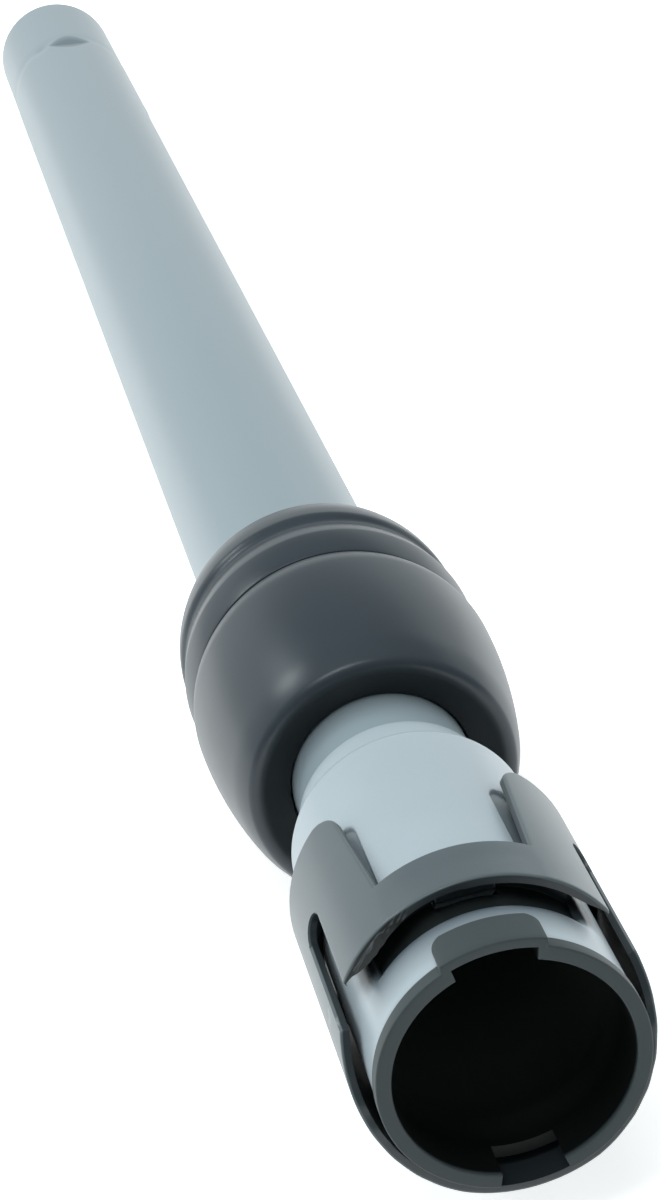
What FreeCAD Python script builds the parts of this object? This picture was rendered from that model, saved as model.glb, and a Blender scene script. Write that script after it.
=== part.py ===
"""Telescopic vacuum wand, pushed together, as a parametric document.

The mouth of the socket is centred on the origin and faces -Y. The wand runs along +Y to its far spigot.
+Z is the side with the wide keyway. Lengths are millimetres and angles are degrees.
"""
import FreeCAD, Part
import math
import os
import Sketcher

doc = FreeCAD.newDocument("telescopic_wand")
sheet = doc.addObject("Spreadsheet::Sheet", "Sizes")


class Size:
    """A size with the sheet expression that gives it, so that plain arithmetic builds both together."""

    def __init__(self, value, text):
        self.value = value
        self.text = text

    def __add__(self, other):
        other = as_size(other)
        return Size(self.value + other.value, f"({self.text} + {other.text})")

    def __radd__(self, other):
        return as_size(other) + self

    def __sub__(self, other):
        other = as_size(other)
        return Size(self.value - other.value, f"({self.text} - {other.text})")

    def __rsub__(self, other):
        return as_size(other) - self

    def __mul__(self, other):
        other = as_size(other)
        return Size(self.value * other.value, f"({self.text} * {other.text})")

    def __rmul__(self, other):
        return as_size(other) * self

    def __truediv__(self, other):
        other = as_size(other)
        return Size(self.value / other.value, f"({self.text} / {other.text})")

    def __neg__(self):
        return 0 - self


def as_size(thing):
    """A plain number becomes a Size that holds itself."""
    return thing if isinstance(thing, Size) else Size(float(thing), f"({float(thing)})")


def sine(angle):
    return Size(math.sin(math.radians(angle.value)), f"sin({angle.text})")


def cosine(angle):
    return Size(math.cos(math.radians(angle.value)), f"cos({angle.text})")


def size(alias, value):
    """One driving dimension: a cell of the sheet with an alias, returned as a Size."""
    row = size.row = getattr(size, "row", 0) + 1
    sheet.set(f"A{row}", alias)
    sheet.set(f"B{row}", str(value))
    sheet.setAlias(f"B{row}", alias)
    return Size(float(value), f"Sizes.{alias}")


# Clearances shared by the pieces
fit_gap = size("fit_gap", 0.05)
run_gap = size("run_gap", 0.2)
seat_gap = size("seat_gap", 0.3)
cut_over = size("cut_over", 3)

# Tubes: the outer one runs over the inner one with room for the slide bush between them
inner_r = size("inner_r", 15.3)
inner_wall = size("inner_wall", 0.8)
slide_room = size("slide_room", 1.5)
outer_wall = size("outer_wall", 0.8)
spigot_length = size("spigot_length", 42)
spigot_step = size("spigot_step", 0.1)
ring_groove_length = size("ring_groove_length", 9)
ring_groove_depth = size("ring_groove_depth", 0.45)
ring_groove_clear = size("ring_groove_clear", 25)
latch_turn = size("latch_turn", 7.5)
latch_inset = size("latch_inset", 1)
latch_ramp = size("latch_ramp", 10)
latch_wall = size("latch_wall", 4.5)
latch_depth = size("latch_depth", 1.05)
guide_turn = size("guide_turn", 75)
guide_die_r = size("guide_die_r", 5)
guide_depth = size("guide_depth", 0.9)
guide_slot_half_angle = size("guide_slot_half_angle", 11)

# Lock notches of the inner tube and the rings on its hidden end
notch_pitch = size("notch_pitch", 45)
notch_count = size("notch_count", 8)
notch_half_length = size("notch_half_length", 3)
notch_half_width = size("notch_half_width", 2.8)
notch_depth = size("notch_depth", 1.3)
rear_seal_length = size("rear_seal_length", 4)
rear_bush_length = size("rear_bush_length", 22)
rear_step = size("rear_step", 2)

# Socket: bore, liner, connector
socket_clearance = size("socket_clearance", 0.2)
liner_wall = size("liner_wall", 0.9)
connector_wall = size("connector_wall", 1.05)
flange_rise = size("flange_rise", 1.4)
flange_depth = size("flange_depth", 2.4)
entry_length = size("entry_length", 15)
relief_depth = size("relief_depth", 0.3)
socket_depth = size("socket_depth", 66)
socket_floor = size("socket_floor", 2)
socket_seal_length = size("socket_seal_length", 3.8)
socket_seal_lip = size("socket_seal_lip", 0.1)
connector_round = size("connector_round", 3)
tail_wall = size("tail_wall", 1.35)
tail_length = size("tail_length", 7.5)
tail_round = size("tail_round", 0.6)

# Hooded keyway at the top of the mouth, open notch at its bottom
hood_wall = size("hood_wall", 1.6)
hood_back_wall = size("hood_back_wall", 1)
hood_half_angle = size("hood_half_angle", 22)
keyway_depth = size("keyway_depth", 6)
keyway_cut = size("keyway_cut", 1.9)
keyway_half_angle = size("keyway_half_angle", 18.5)
mouth_notch_half_width = size("mouth_notch_half_width", 4.7)
mouth_notch_depth = size("mouth_notch_depth", 7)
notch_frame_wall = size("notch_frame_wall", 1.2)
latch_slot_front = size("latch_slot_front", 11.4)
latch_slot_half_angle = size("latch_slot_half_angle", 50)
notch_frame_half_angle = size("notch_frame_half_angle", 17)

# Release collar round the connector
collar_lift = size("collar_lift", 1.4)
collar_wall = size("collar_wall", 1.35)
band_length = size("band_length", 9.5)
wing_length = size("wing_length", 26.5)
cover_front = size("cover_front", 2.5)
leg_front = size("leg_front", 11.5)
leg_bend_r = size("leg_bend_r", 70)
slit_top = size("slit_top", 10.7)
slit_width = size("slit_width", 4.8)
slit_end = size("slit_end", 37)
slit_bend_r = size("slit_bend_r", 2.5)
wing_gap_front = size("wing_gap_front", 11.3)
wing_gap_back = size("wing_gap_back", 12.9)
wing_round_x = size("wing_round_x", 4.3)
wing_round_y = size("wing_round_y", 5)
wing_round_r = size("wing_round_r", 5)
track_angle = size("track_angle", 39)
track_half_angle = size("track_half_angle", 6)
track_front_gap = size("track_front_gap", 1.5)
track_length = size("track_length", 18.5)
track_depth = size("track_depth", 0.5)
tooth_half_width = size("tooth_half_width", 4.5)
tooth_length = size("tooth_length", 6)
tooth_bite = size("tooth_bite", 1.2)
tooth_ramp = size("tooth_ramp", 2.5)
rib_angle = size("rib_angle", 19)
rib_half_angle = size("rib_half_angle", 2.5)
collar_spring_half_span = size("collar_spring_half_span", 8)
collar_spring_rise = size("collar_spring_rise", 2.8)
collar_spring_strip = size("collar_spring_strip", 0.3)
collar_spring_width = size("collar_spring_width", 10)

# Lock carrier on the outer tube's front end, pawl and springs
carrier_wall = size("carrier_wall", 1.95)
carrier_lip = size("carrier_lip", 1)
carrier_guide = size("carrier_guide", 9)
carrier_tail = size("carrier_tail", 17)
wiper_length = size("wiper_length", 2.6)
wiper_wall = size("wiper_wall", 1.8)
wiper_gap = size("wiper_gap", 0.1)
stop_inset = size("stop_inset", 5)
stop_flange_length = size("stop_flange_length", 2)
stop_flange_rise = size("stop_flange_rise", 2.8)
pawl_inset = size("pawl_inset", 2)
pawl_length = size("pawl_length", 6)
pawl_half_width = size("pawl_half_width", 2.4)
pawl_foot_gap = size("pawl_foot_gap", 0.1)
pawl_lift = size("pawl_lift", 2)
lug_half_width = size("lug_half_width", 4.5)
lug_length = size("lug_length", 3)
lug_rise = size("lug_rise", 1.5)
ramp_toe = size("ramp_toe", 0.2)
ramp_gap = size("ramp_gap", 0.1)
cam_length = size("cam_length", 9.3)
leaf_strip = size("leaf_strip", 0.3)
leaf_half_width = size("leaf_half_width", 2)
leaf_seat_length = size("leaf_seat_length", 5)
leaf_reach = size("leaf_reach", 4)
fold_rise = size("fold_rise", 0.8)
fold_count = size("fold_count", 8)

# Sliding sleeve: bulb with its dish, and the ribbed ring plugged into its back
neck_length = size("neck_length", 10.5)
sleeve_travel = size("sleeve_travel", 6)
sleeve_hole_gap = size("sleeve_hole_gap", 0.35)
hub_thick = size("hub_thick", 2.4)
dish_depth = size("dish_depth", 1)
dish_width = size("dish_width", 5.25)
dish_bend_r = size("dish_bend_r", 4.4)
lip_run = size("lip_run", 0.31)
lip_rise = size("lip_rise", 1.36)
lip_bend_r = size("lip_bend_r", 0.8)
crest_bend_r = size("crest_bend_r", 116)
shoulder_run = size("shoulder_run", 5.4)
shoulder_drop = size("shoulder_drop", 1.4)
shoulder_bend_r = size("shoulder_bend_r", 9)
shell_wall = size("shell_wall", 2.55)
shell_step = size("shell_step", 0.65)
flange_room = size("flange_room", 1.7)
spring_pocket = size("spring_pocket", 1.6)
waist_run = size("waist_run", 11.6)
parting_gap = size("parting_gap", 0.4)
ring_spigot_length = size("ring_spigot_length", 2.25)
ring_spigot_wall = size("ring_spigot_wall", 1.8)
ridge_run = size("ridge_run", 7)
ridge_rise = size("ridge_rise", 1)
ridge_bend_r = size("ridge_bend_r", 40)
ridge_drop_run = size("ridge_drop_run", 2.7)
ridge_drop = size("ridge_drop", 0.6)
ridge_drop_bend_r = size("ridge_drop_bend_r", 4)
valley_run = size("valley_run", 8)
valley_drop = size("valley_drop", 0.5)
valley_bend_r = size("valley_bend_r", 9)
rim_run = size("rim_run", 6.2)
rim_drop = size("rim_drop", 1.6)
rim_bend_r = size("rim_bend_r", 5)
rim_land = size("rim_land", 0.8)
ring_end_wall = size("ring_end_wall", 2)
ring_hole_gap = size("ring_hole_gap", 0.5)

doc.recompute()


def bind(thing, path, amount):
    """Ties one property of a document object to its sheet expression."""
    thing.setExpression(path, as_size(amount).text)


def bent_run(start, end, bend):
    """The arc from start to end with that radius: it turns left where the radius is positive, else right."""
    chord = end - start
    reach = math.sqrt(bend * bend - chord.Length * chord.Length / 4)
    left = FreeCAD.Vector(-chord.y, chord.x, 0).normalize()
    centre = (start + end) * 0.5 + left * math.copysign(reach, bend)
    first, last = (start, end) if bend > 0 else (end, start)
    from_angle = math.atan2(first.y - centre.y, first.x - centre.x)
    to_angle = math.atan2(last.y - centre.y, last.x - centre.x)
    circle = Part.Circle(centre, FreeCAD.Vector(0, 0, 1), abs(bend))
    return Part.ArcOfCircle(circle, from_angle, to_angle)


def outline(body, role, name, corners):
    """A closed sketch on one of the body's own planes, every corner pinned to the sheet.

    A corner is (across, up), or (across, up, radius) where the run that reaches it is an arc. A positive
    radius turns left along the way round, a negative one turns right.
    """
    sketch = body.newObject("Sketcher::SketchObject", name)
    plane = next(item for item in body.Origin.OriginFeatures if item.Role == role)
    sketch.AttachmentSupport = [(plane, "")]
    sketch.MapMode = "FlatFace"
    corners = [[as_size(number) for number in corner] for corner in corners]
    places = [FreeCAD.Vector(corner[0].value, corner[1].value, 0) for corner in corners]
    runs = []
    for index, corner in enumerate(corners):
        before, here = places[index - 1], places[index]
        if len(corner) == 2:
            sketch.addGeometry(Part.LineSegment(before, here))
            runs.append((1, 2))
        else:
            sketch.addGeometry(bent_run(before, here, corner[2].value))
            runs.append((1, 2) if corner[2].value > 0 else (2, 1))
    for index, corner in enumerate(corners):
        last = (index - 1) % len(corners)
        sketch.addConstraint(Sketcher.Constraint("Coincident", last, runs[last][1], index, runs[index][0]))
        for kind, amount in (("DistanceX", corner[0]), ("DistanceY", corner[1])):
            pin(sketch, Sketcher.Constraint(kind, -1, 1, index, runs[index][1], amount.value), amount)
        if len(corner) == 3:
            pin(sketch, Sketcher.Constraint("Radius", index, abs(corner[2].value)), magnitude(corner[2]))
    return sketch


def magnitude(amount):
    return amount if amount.value >= 0 else -amount


def pin(sketch, constraint, amount):
    """Adds a constraint and ties its value to the sheet."""
    index = sketch.addConstraint(constraint)
    name = f"pin{index}"
    sketch.renameConstraint(index, name)
    bind(sketch, f"Constraints.{name}", amount)


def new_body(label):
    body = doc.addObject("PartDesign::Body", label)
    body.Label = label
    return body


def turned(label, corners):
    """A body turned about the wand's axis from a section given as (along the axis, radius)."""
    body = new_body(label)
    section = outline(body, "YZ_Plane", f"{label}_section", corners)
    turn = body.newObject("PartDesign::Revolution", f"{label}_turn")
    turn.Profile = section
    turn.ReferenceAxis = (section, ["H_Axis"])
    turn.Angle = 360
    return body


def sector(body, kind, name, corners, clock, half_angle):
    """Adds or grooves a part turn of a section, centred on a clock angle counted from the top."""
    section = outline(body, "YZ_Plane", f"{name}_section", corners)
    clock = as_size(clock)
    section.AttachmentOffset = FreeCAD.Placement(
        FreeCAD.Vector(), FreeCAD.Rotation(FreeCAD.Vector(1, 0, 0), clock.value))
    bind(section, "AttachmentOffset.Rotation.Angle", clock)
    turn = body.newObject(f"PartDesign::{kind}", name)
    turn.Profile = section
    turn.ReferenceAxis = (section, ["H_Axis"])
    turn.Midplane = True
    bind(turn, "Angle", 2 * half_angle)
    must_change(body, kind == "Revolution", name)


def pressed(body, kind, role, name, corners, length, side):
    """Pads or pockets a sketch: side is both for a symmetric length, or up or down along the plane's normal."""
    sketch = outline(body, role, f"{name}_sketch", corners)
    feature = body.newObject(f"PartDesign::{kind}", name)
    feature.Profile = sketch
    feature.SideType = "Symmetric" if side == "both" else "One side"
    feature.Reversed = side == ("up" if kind == "Pocket" else "down")
    bind(feature, "Length", length)
    if body.Tip is not None and body.Tip.BaseFeature is not None:
        must_change(body, kind == "Pad", name)
    return feature


def must_change(body, grows, name):
    """A cut that points away from the solid shows no error, so the volume is compared."""
    doc.recompute()
    before = body.Tip.BaseFeature.Shape.Volume
    after = body.Tip.Shape.Volume
    if (after > before) != grows:
        raise RuntimeError(f"{name} left the volume at {after} from {before}")


def rectangle(low_across, high_across, low_up, high_up):
    return [(low_across, low_up), (high_across, low_up), (high_across, high_up), (low_across, high_up)]


def tube_section(low_y, high_y, low_r, high_r):
    return rectangle(low_y, high_y, low_r, high_r)


# Radii that several pieces share
outer_in_r = inner_r + slide_room
outer_r = outer_in_r + outer_wall
spigot_r = outer_r - spigot_step
bore_r = spigot_r + socket_clearance
liner_r = bore_r + liner_wall
flange_r = liner_r + flange_rise
keyway_floor_r = bore_r + keyway_cut
hood_r = keyway_floor_r + hood_wall
hood_half_width = hood_r * sine(hood_half_angle) + seat_gap
connector_bore_r = liner_r + fit_gap
connector_r = connector_bore_r + connector_wall
inner_seat_r = inner_r + fit_gap
tail_r = inner_seat_r + tail_wall
collar_in_r = connector_r + collar_lift + seat_gap
collar_out_r = collar_in_r + collar_wall
carrier_in_r = outer_r + fit_gap
carrier_r = carrier_in_r + carrier_wall
stop_flange_r = carrier_r + stop_flange_rise
waist_r = stop_flange_r + flange_room
seat_r = waist_r + shell_step
crest_r = seat_r + shell_wall
parting_r = crest_r - shoulder_drop
plug_r = seat_r - fit_gap
cam_in_r = carrier_r + seat_gap
ramp_start_r = cam_in_r + ramp_toe
pawl_back_r = ramp_start_r + lug_rise
pawl_foot_r = inner_r + pawl_foot_gap
far_above = 2 * crest_r

# Places along the wand, from the mouth to the spigot
hood_length = keyway_depth + hood_back_wall
band_front = entry_length
band_back = band_front + band_length
collar_back = band_back + wing_length
tooth_front = band_front + (band_length - tooth_length) / 2
tooth_back = tooth_front + tooth_length
window_half_width = tooth_half_width + seat_gap
window_front = tooth_front - seat_gap
window_back = tooth_back + seat_gap
connector_length = socket_depth + socket_floor
tail_back = connector_length + tail_length
hub_front = tail_back + neck_length
hub_back = hub_front + hub_thick
carrier_front = hub_back + sleeve_travel + 2 * seat_gap
tube_front = carrier_front + carrier_guide
stop_front = tube_front + stop_inset
stop_back = stop_front + stop_flange_length
carrier_back = stop_back + carrier_tail
pawl_front = stop_back + pawl_inset
pawl_back = pawl_front + pawl_length
pawl_middle = pawl_front + pawl_length / 2
cam_front = stop_back + seat_gap
cam_back = cam_front + cam_length
parting_y = cam_back + fit_gap + ring_spigot_length
crest_y = parting_y - shoulder_run
ring_front = parting_y + parting_gap
ridge_y = ring_front + ridge_run
drop_y = ridge_y + ridge_drop_run
rim_y = drop_y + valley_run
ring_back = rim_y + rim_run + rim_land
ramp_rise = pawl_lift / sleeve_travel
telescope_travel = notch_pitch * notch_count
rear_seal_front = pawl_back + telescope_travel + 1.5 * rear_step
rear_seal_back = rear_seal_front + rear_seal_length
rear_bush_front = rear_seal_back + rear_step
rear_bush_back = rear_bush_front + rear_bush_length
inner_back = rear_bush_back + rear_step
groove_front = inner_back + ring_groove_clear
groove_back = groove_front + ring_groove_length
wand_length = groove_back + spigot_length
guide_front = ring_back + rear_step
guide_back = rear_seal_front - rear_step


def make_bore_liner():
    """Dark liner of the socket: flange, bore with a relief at the latch, hooded keyway, framed open notch."""
    length = socket_depth - socket_seal_length
    relief_r = bore_r + relief_depth
    relief_back = 2 * tooth_front + tooth_length - entry_length
    body = turned("bore_liner", [
        (0, bore_r), (entry_length, bore_r), (entry_length, relief_r), (relief_back, relief_r),
        (relief_back, bore_r), (length, bore_r), (length, liner_r), (flange_depth, liner_r),
        (flange_depth, flange_r), (0, flange_r)])
    hood = tube_section(0, hood_length, bore_r + relief_depth, hood_r)
    keyway = tube_section(-cut_over, keyway_depth, bore_r - cut_over, keyway_floor_r)
    sector(body, "Revolution", "hood", hood, 0, hood_half_angle)
    sector(body, "Groove", "keyway", keyway, 0, keyway_half_angle)
    frame = tube_section(0, mouth_notch_depth + notch_frame_wall, bore_r + relief_depth, connector_r)
    sector(body, "Revolution", "notch_frame", frame, 180, notch_frame_half_angle)
    notch = rectangle(-mouth_notch_half_width, mouth_notch_half_width, -cut_over, mouth_notch_depth)
    pressed(body, "Pocket", "XY_Plane", "liner_notch", notch, far_above, "down")
    window = rectangle(-window_half_width, window_half_width, window_front, window_back)
    pressed(body, "Pocket", "XY_Plane", "liner_window", window, far_above, "up")
    return body


def make_connector_body():
    """Light grey socket moulding: slot in front of the band, rounded back, tail that grips the inner tube."""
    front = flange_depth + fit_gap
    body = turned("connector_body", [
        (front, connector_bore_r), (socket_depth, connector_bore_r), (socket_depth, inner_seat_r),
        (tail_back, inner_seat_r), (tail_back, tail_r - tail_round), (tail_back - tail_round, tail_r, tail_round),
        (connector_length, tail_r), (connector_length, connector_r - connector_round),
        (connector_length - connector_round, connector_r, connector_round), (front, connector_r)])
    hood_slot = rectangle(-hood_half_width, hood_half_width, -cut_over, hood_length + seat_gap)
    pressed(body, "Pocket", "XY_Plane", "hood_slot", hood_slot, far_above, "up")
    frame_half_width = connector_r * sine(notch_frame_half_angle) + seat_gap
    frame_room = rectangle(-frame_half_width, frame_half_width, -cut_over,
                           mouth_notch_depth + notch_frame_wall + seat_gap)
    pressed(body, "Pocket", "XY_Plane", "notch_frame_room", frame_room, far_above, "down")
    slot = tube_section(latch_slot_front, window_front, connector_bore_r - cut_over, connector_r + cut_over)
    sector(body, "Groove", "latch_slot", slot, 0, latch_slot_half_angle)
    rib = tube_section(tooth_front, tooth_back, connector_r - connector_wall / 2, collar_in_r - seat_gap)
    track_front = band_back + track_front_gap
    track = tube_section(track_front, track_front + track_length,
                         connector_r - track_depth, connector_r + cut_over)
    for side, sign in (("right", 1), ("left", -1)):
        sector(body, "Revolution", f"{side}_rib", rib, sign * rib_angle, rib_half_angle)
        sector(body, "Groove", f"{side}_track", track, sign * track_angle, track_half_angle)
    window = rectangle(-window_half_width, window_half_width, window_front, window_back)
    pressed(body, "Pocket", "XY_Plane", "connector_window", window, far_above, "up")
    return body


def make_release_collar():
    """Dark collar: band over the top, two wings, a slit along each side, a lower cover and the latch tooth."""
    body = turned("release_collar", tube_section(0, collar_back, collar_in_r, collar_out_r))
    slit_low = slit_top - slit_width
    slit_turn = slit_end - slit_width / 2
    front_cut = [
        (-cut_over, far_above), (band_front, far_above), (band_front, slit_top), (slit_turn, slit_top),
        (slit_turn, slit_low, -slit_bend_r), (leg_front, slit_low), (cover_front, -connector_r, -leg_bend_r),
        (cover_front, -far_above), (-cut_over, -far_above)]
    pressed(body, "Pocket", "YZ_Plane", "front_cut", front_cut, 2 * far_above, "both")
    wing_corner_y = collar_back - wing_round_y
    wing_corner_x = wing_gap_back + wing_round_x
    back_cut = [
        (-wing_gap_front, band_back), (wing_gap_front, band_back), (wing_gap_back, wing_corner_y),
        (wing_corner_x, collar_back, -wing_round_r), (wing_corner_x, collar_back + cut_over),
        (-wing_corner_x, collar_back + cut_over), (-wing_corner_x, collar_back),
        (-wing_gap_back, wing_corner_y, -wing_round_r)]
    pressed(body, "Pocket", "XY_Plane", "back_cut", back_cut, far_above, "up")
    tooth_tip = bore_r - tooth_bite
    tooth_root = collar_in_r + collar_wall / 4
    tooth = [(tooth_front, tooth_root), (tooth_front, tooth_tip + tooth_bite), (tooth_front + tooth_ramp, tooth_tip),
             (tooth_back, tooth_tip), (tooth_back, tooth_root)]
    pressed(body, "Pad", "YZ_Plane", "latch_tooth", tooth, 2 * tooth_half_width, "both")
    return body


def make_collar_spring():
    """Arched leaf under the connector that pushes the lower cover down and keeps the tooth in the bore."""
    body = new_body("collar_spring")
    crown = collar_in_r - fit_gap
    foot = crown - collar_spring_rise
    bend = (collar_spring_half_span * collar_spring_half_span + collar_spring_rise * collar_spring_rise) \
        / (2 * collar_spring_rise)
    strip = [(-collar_spring_half_span, -foot), (collar_spring_half_span, -foot, bend),
             (collar_spring_half_span, collar_spring_strip - foot),
             (-collar_spring_half_span, collar_spring_strip - foot, -bend)]
    leaf = pressed(body, "Pad", "XZ_Plane", "collar_leaf", strip, collar_spring_width, "both")
    leaf.Profile[0].AttachmentOffset = FreeCAD.Placement(
        FreeCAD.Vector(0, 0, -(band_back + wing_length / 2).value), FreeCAD.Rotation())
    bind(leaf.Profile[0], "AttachmentOffset.Base.z", -(band_back + wing_length / 2))
    return body


def make_socket_seal():
    """Seal ring at the bottom of the socket, behind the liner."""
    return turned("socket_seal", tube_section(
        socket_depth - socket_seal_length + fit_gap, socket_depth - fit_gap, bore_r + socket_seal_lip, liner_r))


def make_inner_tube():
    """Painted steel tube with a row of pressed lock notches along its underside."""
    body = turned("inner_tube", tube_section(socket_depth + fit_gap, inner_back, inner_r - inner_wall, inner_r))
    first = pawl_middle + notch_pitch
    floor = inner_r - notch_depth
    boss = rectangle(first - notch_half_length - inner_wall, first + notch_half_length + inner_wall,
                     -inner_r + inner_wall, inner_wall - floor)
    notch = rectangle(first - notch_half_length, first + notch_half_length, -inner_r - cut_over, -floor)
    boss_pad = pressed(body, "Pad", "YZ_Plane", "notch_boss", boss, 2 * (notch_half_width + inner_wall), "both")
    notch_cut = pressed(body, "Pocket", "YZ_Plane", "notch_cut", notch, 2 * notch_half_width, "both")
    row = body.newObject("PartDesign::LinearPattern", "notch_row")
    row.Originals = [boss_pad, notch_cut]
    along = next(item for item in body.Origin.OriginFeatures if item.Role == "Y_Axis")
    row.Direction = (along, [""])
    bind(row, "Length", notch_pitch * (notch_count - 1))
    bind(row, "Occurrences", notch_count)
    body.Tip = row
    return body


def make_rear_ring(label, low_y, high_y, clearance):
    """A ring on the hidden end of the inner tube, slotted for the ridge of the outer tube's guide groove."""
    ring_r = outer_in_r - clearance
    body = turned(label, tube_section(low_y, high_y, inner_seat_r, ring_r))
    slot = tube_section(low_y - cut_over, high_y + cut_over, inner_seat_r - cut_over, ring_r + cut_over)
    sector(body, "Groove", f"{label}_slot", slot, guide_turn, guide_slot_half_angle)
    return body


def make_outer_tube():
    """Painted steel tube: the wall is turned, then the guide groove and the latch notch are pressed into it."""
    groove_bend = (ring_groove_length * ring_groove_length / 4 + ring_groove_depth * ring_groove_depth) \
        / (2 * ring_groove_depth)
    wall = turned("tube_wall", [
        (tube_front, outer_in_r), (groove_front, outer_in_r), (groove_back, outer_in_r, groove_bend),
        (groove_back, outer_in_r - spigot_step), (wand_length, outer_in_r - spigot_step), (wand_length, spigot_r),
        (groove_back, spigot_r), (groove_back, outer_r), (groove_front, outer_r, -groove_bend),
        (tube_front, outer_r)])
    slot = rectangle(-pawl_half_width - seat_gap, pawl_half_width + seat_gap,
                     pawl_front - seat_gap, pawl_back + seat_gap)
    pressed(wall, "Pocket", "XY_Plane", "tube_slot", slot, far_above, "down")
    plug = doc.addObject("Part::Cylinder", "bore_plug")
    lay_along(plug, 0, 0, tube_front)
    bind(plug, "Radius", outer_r - outer_wall / 2)
    bind(plug, "Height", wand_length - tube_front)
    linings = doc.addObject("Part::MultiFuse", "linings")
    linings.Shapes = press_dies("lining", outer_wall)
    ridges = doc.addObject("Part::Common", "pressed_ridges")
    ridges.Base = linings
    ridges.Tool = plug
    lined = doc.addObject("Part::Fuse", "lined_tube")
    lined.Base = wall
    lined.Tool = ridges
    dies = doc.addObject("Part::MultiFuse", "dies")
    dies.Shapes = press_dies("die", as_size(0))
    tube = doc.addObject("Part::Cut", "outer_tube")
    tube.Base = lined
    tube.Tool = dies
    tube.Label = "outer_tube"
    return tube


def lay_along(thing, across, up, start):
    """Turns a primitive's own axis to +Y and starts it at a place, with the place tied to the sheet."""
    places = [as_size(amount) for amount in (across, start, up)]
    thing.Placement = FreeCAD.Placement(
        FreeCAD.Vector(*[place.value for place in places]), FreeCAD.Rotation(FreeCAD.Vector(1, 0, 0), -90))
    for axis, place in zip("xyz", places):
        bind(thing, f"Placement.Base.{axis}", place)


def press_dies(name, thickness):
    """The punches that shape the tube, grown by a thickness: a round-ended bar and a latch wedge."""
    centre_r = outer_r + guide_die_r - guide_depth
    across = centre_r * sine(guide_turn)
    up = centre_r * cosine(guide_turn)
    die_r = guide_die_r + thickness
    bar = doc.addObject("Part::Cylinder", f"{name}_bar")
    bind(bar, "Radius", die_r)
    bind(bar, "Height", guide_back - guide_front)
    lay_along(bar, across, up, guide_front)
    ends = []
    for place in (guide_front, guide_back):
        end = doc.addObject("Part::Sphere", f"{name}_end")
        bind(end, "Radius", die_r)
        lay_along(end, across, up, place)
        ends.append(end)
    floor_y = groove_front + latch_inset
    floor_r = outer_r - latch_depth - thickness
    wedge = new_body(f"{name}_wedge")
    pressed(wedge, "Pad", "YZ_Plane", f"{name}_wedge_pad", [
        (floor_y - latch_ramp - thickness, outer_r), (floor_y, floor_r), (floor_y + latch_wall + thickness, outer_r),
        (floor_y + latch_wall + thickness, outer_r + cut_over), (floor_y - latch_ramp - thickness, outer_r + cut_over)],
        2 * outer_r, "both")
    wedge.Placement = FreeCAD.Placement(
        FreeCAD.Vector(), FreeCAD.Rotation(FreeCAD.Vector(0, 1, 0), latch_turn.value))
    bind(wedge, "Placement.Rotation.Angle", latch_turn)
    return [bar, *ends, wedge]


def make_lock_carrier():
    """Plastic bush on the tube's front end: guides the inner tube, holds the wiper, the spring and the pawl."""
    guide_r = inner_r + run_gap
    wiper_front = carrier_front + carrier_lip
    wiper_back = wiper_front + wiper_length
    groove_r = inner_r + wiper_gap + wiper_wall + fit_gap
    body = turned("lock_carrier", [
        (carrier_front, guide_r), (wiper_front, guide_r), (wiper_front, groove_r), (wiper_back, groove_r),
        (wiper_back, guide_r), (tube_front, guide_r), (tube_front, carrier_in_r), (carrier_back, carrier_in_r),
        (carrier_back, carrier_r), (stop_back, carrier_r), (stop_back, stop_flange_r),
        (stop_front, stop_flange_r), (stop_front, carrier_r), (carrier_front, carrier_r)])
    slot = rectangle(-pawl_half_width - seat_gap, pawl_half_width + seat_gap,
                     pawl_front - seat_gap, pawl_back + seat_gap)
    pressed(body, "Pocket", "XY_Plane", "carrier_slot", slot, far_above, "down")
    return body


def make_wiper_seal():
    """Felt ring in the carrier that wipes the inner tube."""
    front = carrier_front + carrier_lip + fit_gap
    return turned("wiper_seal", tube_section(
        front, front + wiper_length - 2 * fit_gap, inner_r + wiper_gap, inner_r + wiper_gap + wiper_wall))


def ramp_r(y):
    """Radius of the cam ramp at a place along the wand while the sleeve is at rest."""
    return ramp_start_r + (pawl_back - y) * ramp_rise


def make_cam_ring():
    """Ring inside the sleeve, cut away at the pawl to leave two ramps that pass under its lugs."""
    body = turned("cam_ring", tube_section(cam_front, cam_back, cam_in_r, plug_r))
    lug_room = [(cam_front - cut_over, -far_above), (cam_front - cut_over, -ramp_r(cam_front - cut_over)),
                (cam_back + cut_over, -ramp_r(cam_back + cut_over)), (cam_back + cut_over, -far_above)]
    pressed(body, "Pocket", "YZ_Plane", "lug_room", lug_room, 2 * (lug_half_width + seat_gap), "both")
    foot_room = rectangle(-pawl_half_width - seat_gap, pawl_half_width + seat_gap,
                          cam_front - cut_over, cam_back + cut_over)
    pressed(body, "Pocket", "XY_Plane", "foot_room", foot_room, far_above, "down")
    return body


def make_lock_pawl():
    """Steel dog: a foot that reaches the inner tube and two lugs that the cam ramps lift."""
    body = new_body("lock_pawl")
    foot = rectangle(pawl_front, pawl_back, -pawl_back_r, -pawl_foot_r)
    pressed(body, "Pad", "YZ_Plane", "pawl_foot", foot, 2 * pawl_half_width, "both")
    lug_front = pawl_back - lug_length
    lug = [(lug_front, -pawl_back_r), (pawl_back, -pawl_back_r), (pawl_back, -ramp_r(pawl_back) - ramp_gap),
           (lug_front, -ramp_r(lug_front) - ramp_gap)]
    pressed(body, "Pad", "YZ_Plane", "pawl_lugs", lug, 2 * lug_half_width, "both")
    return body


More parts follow.
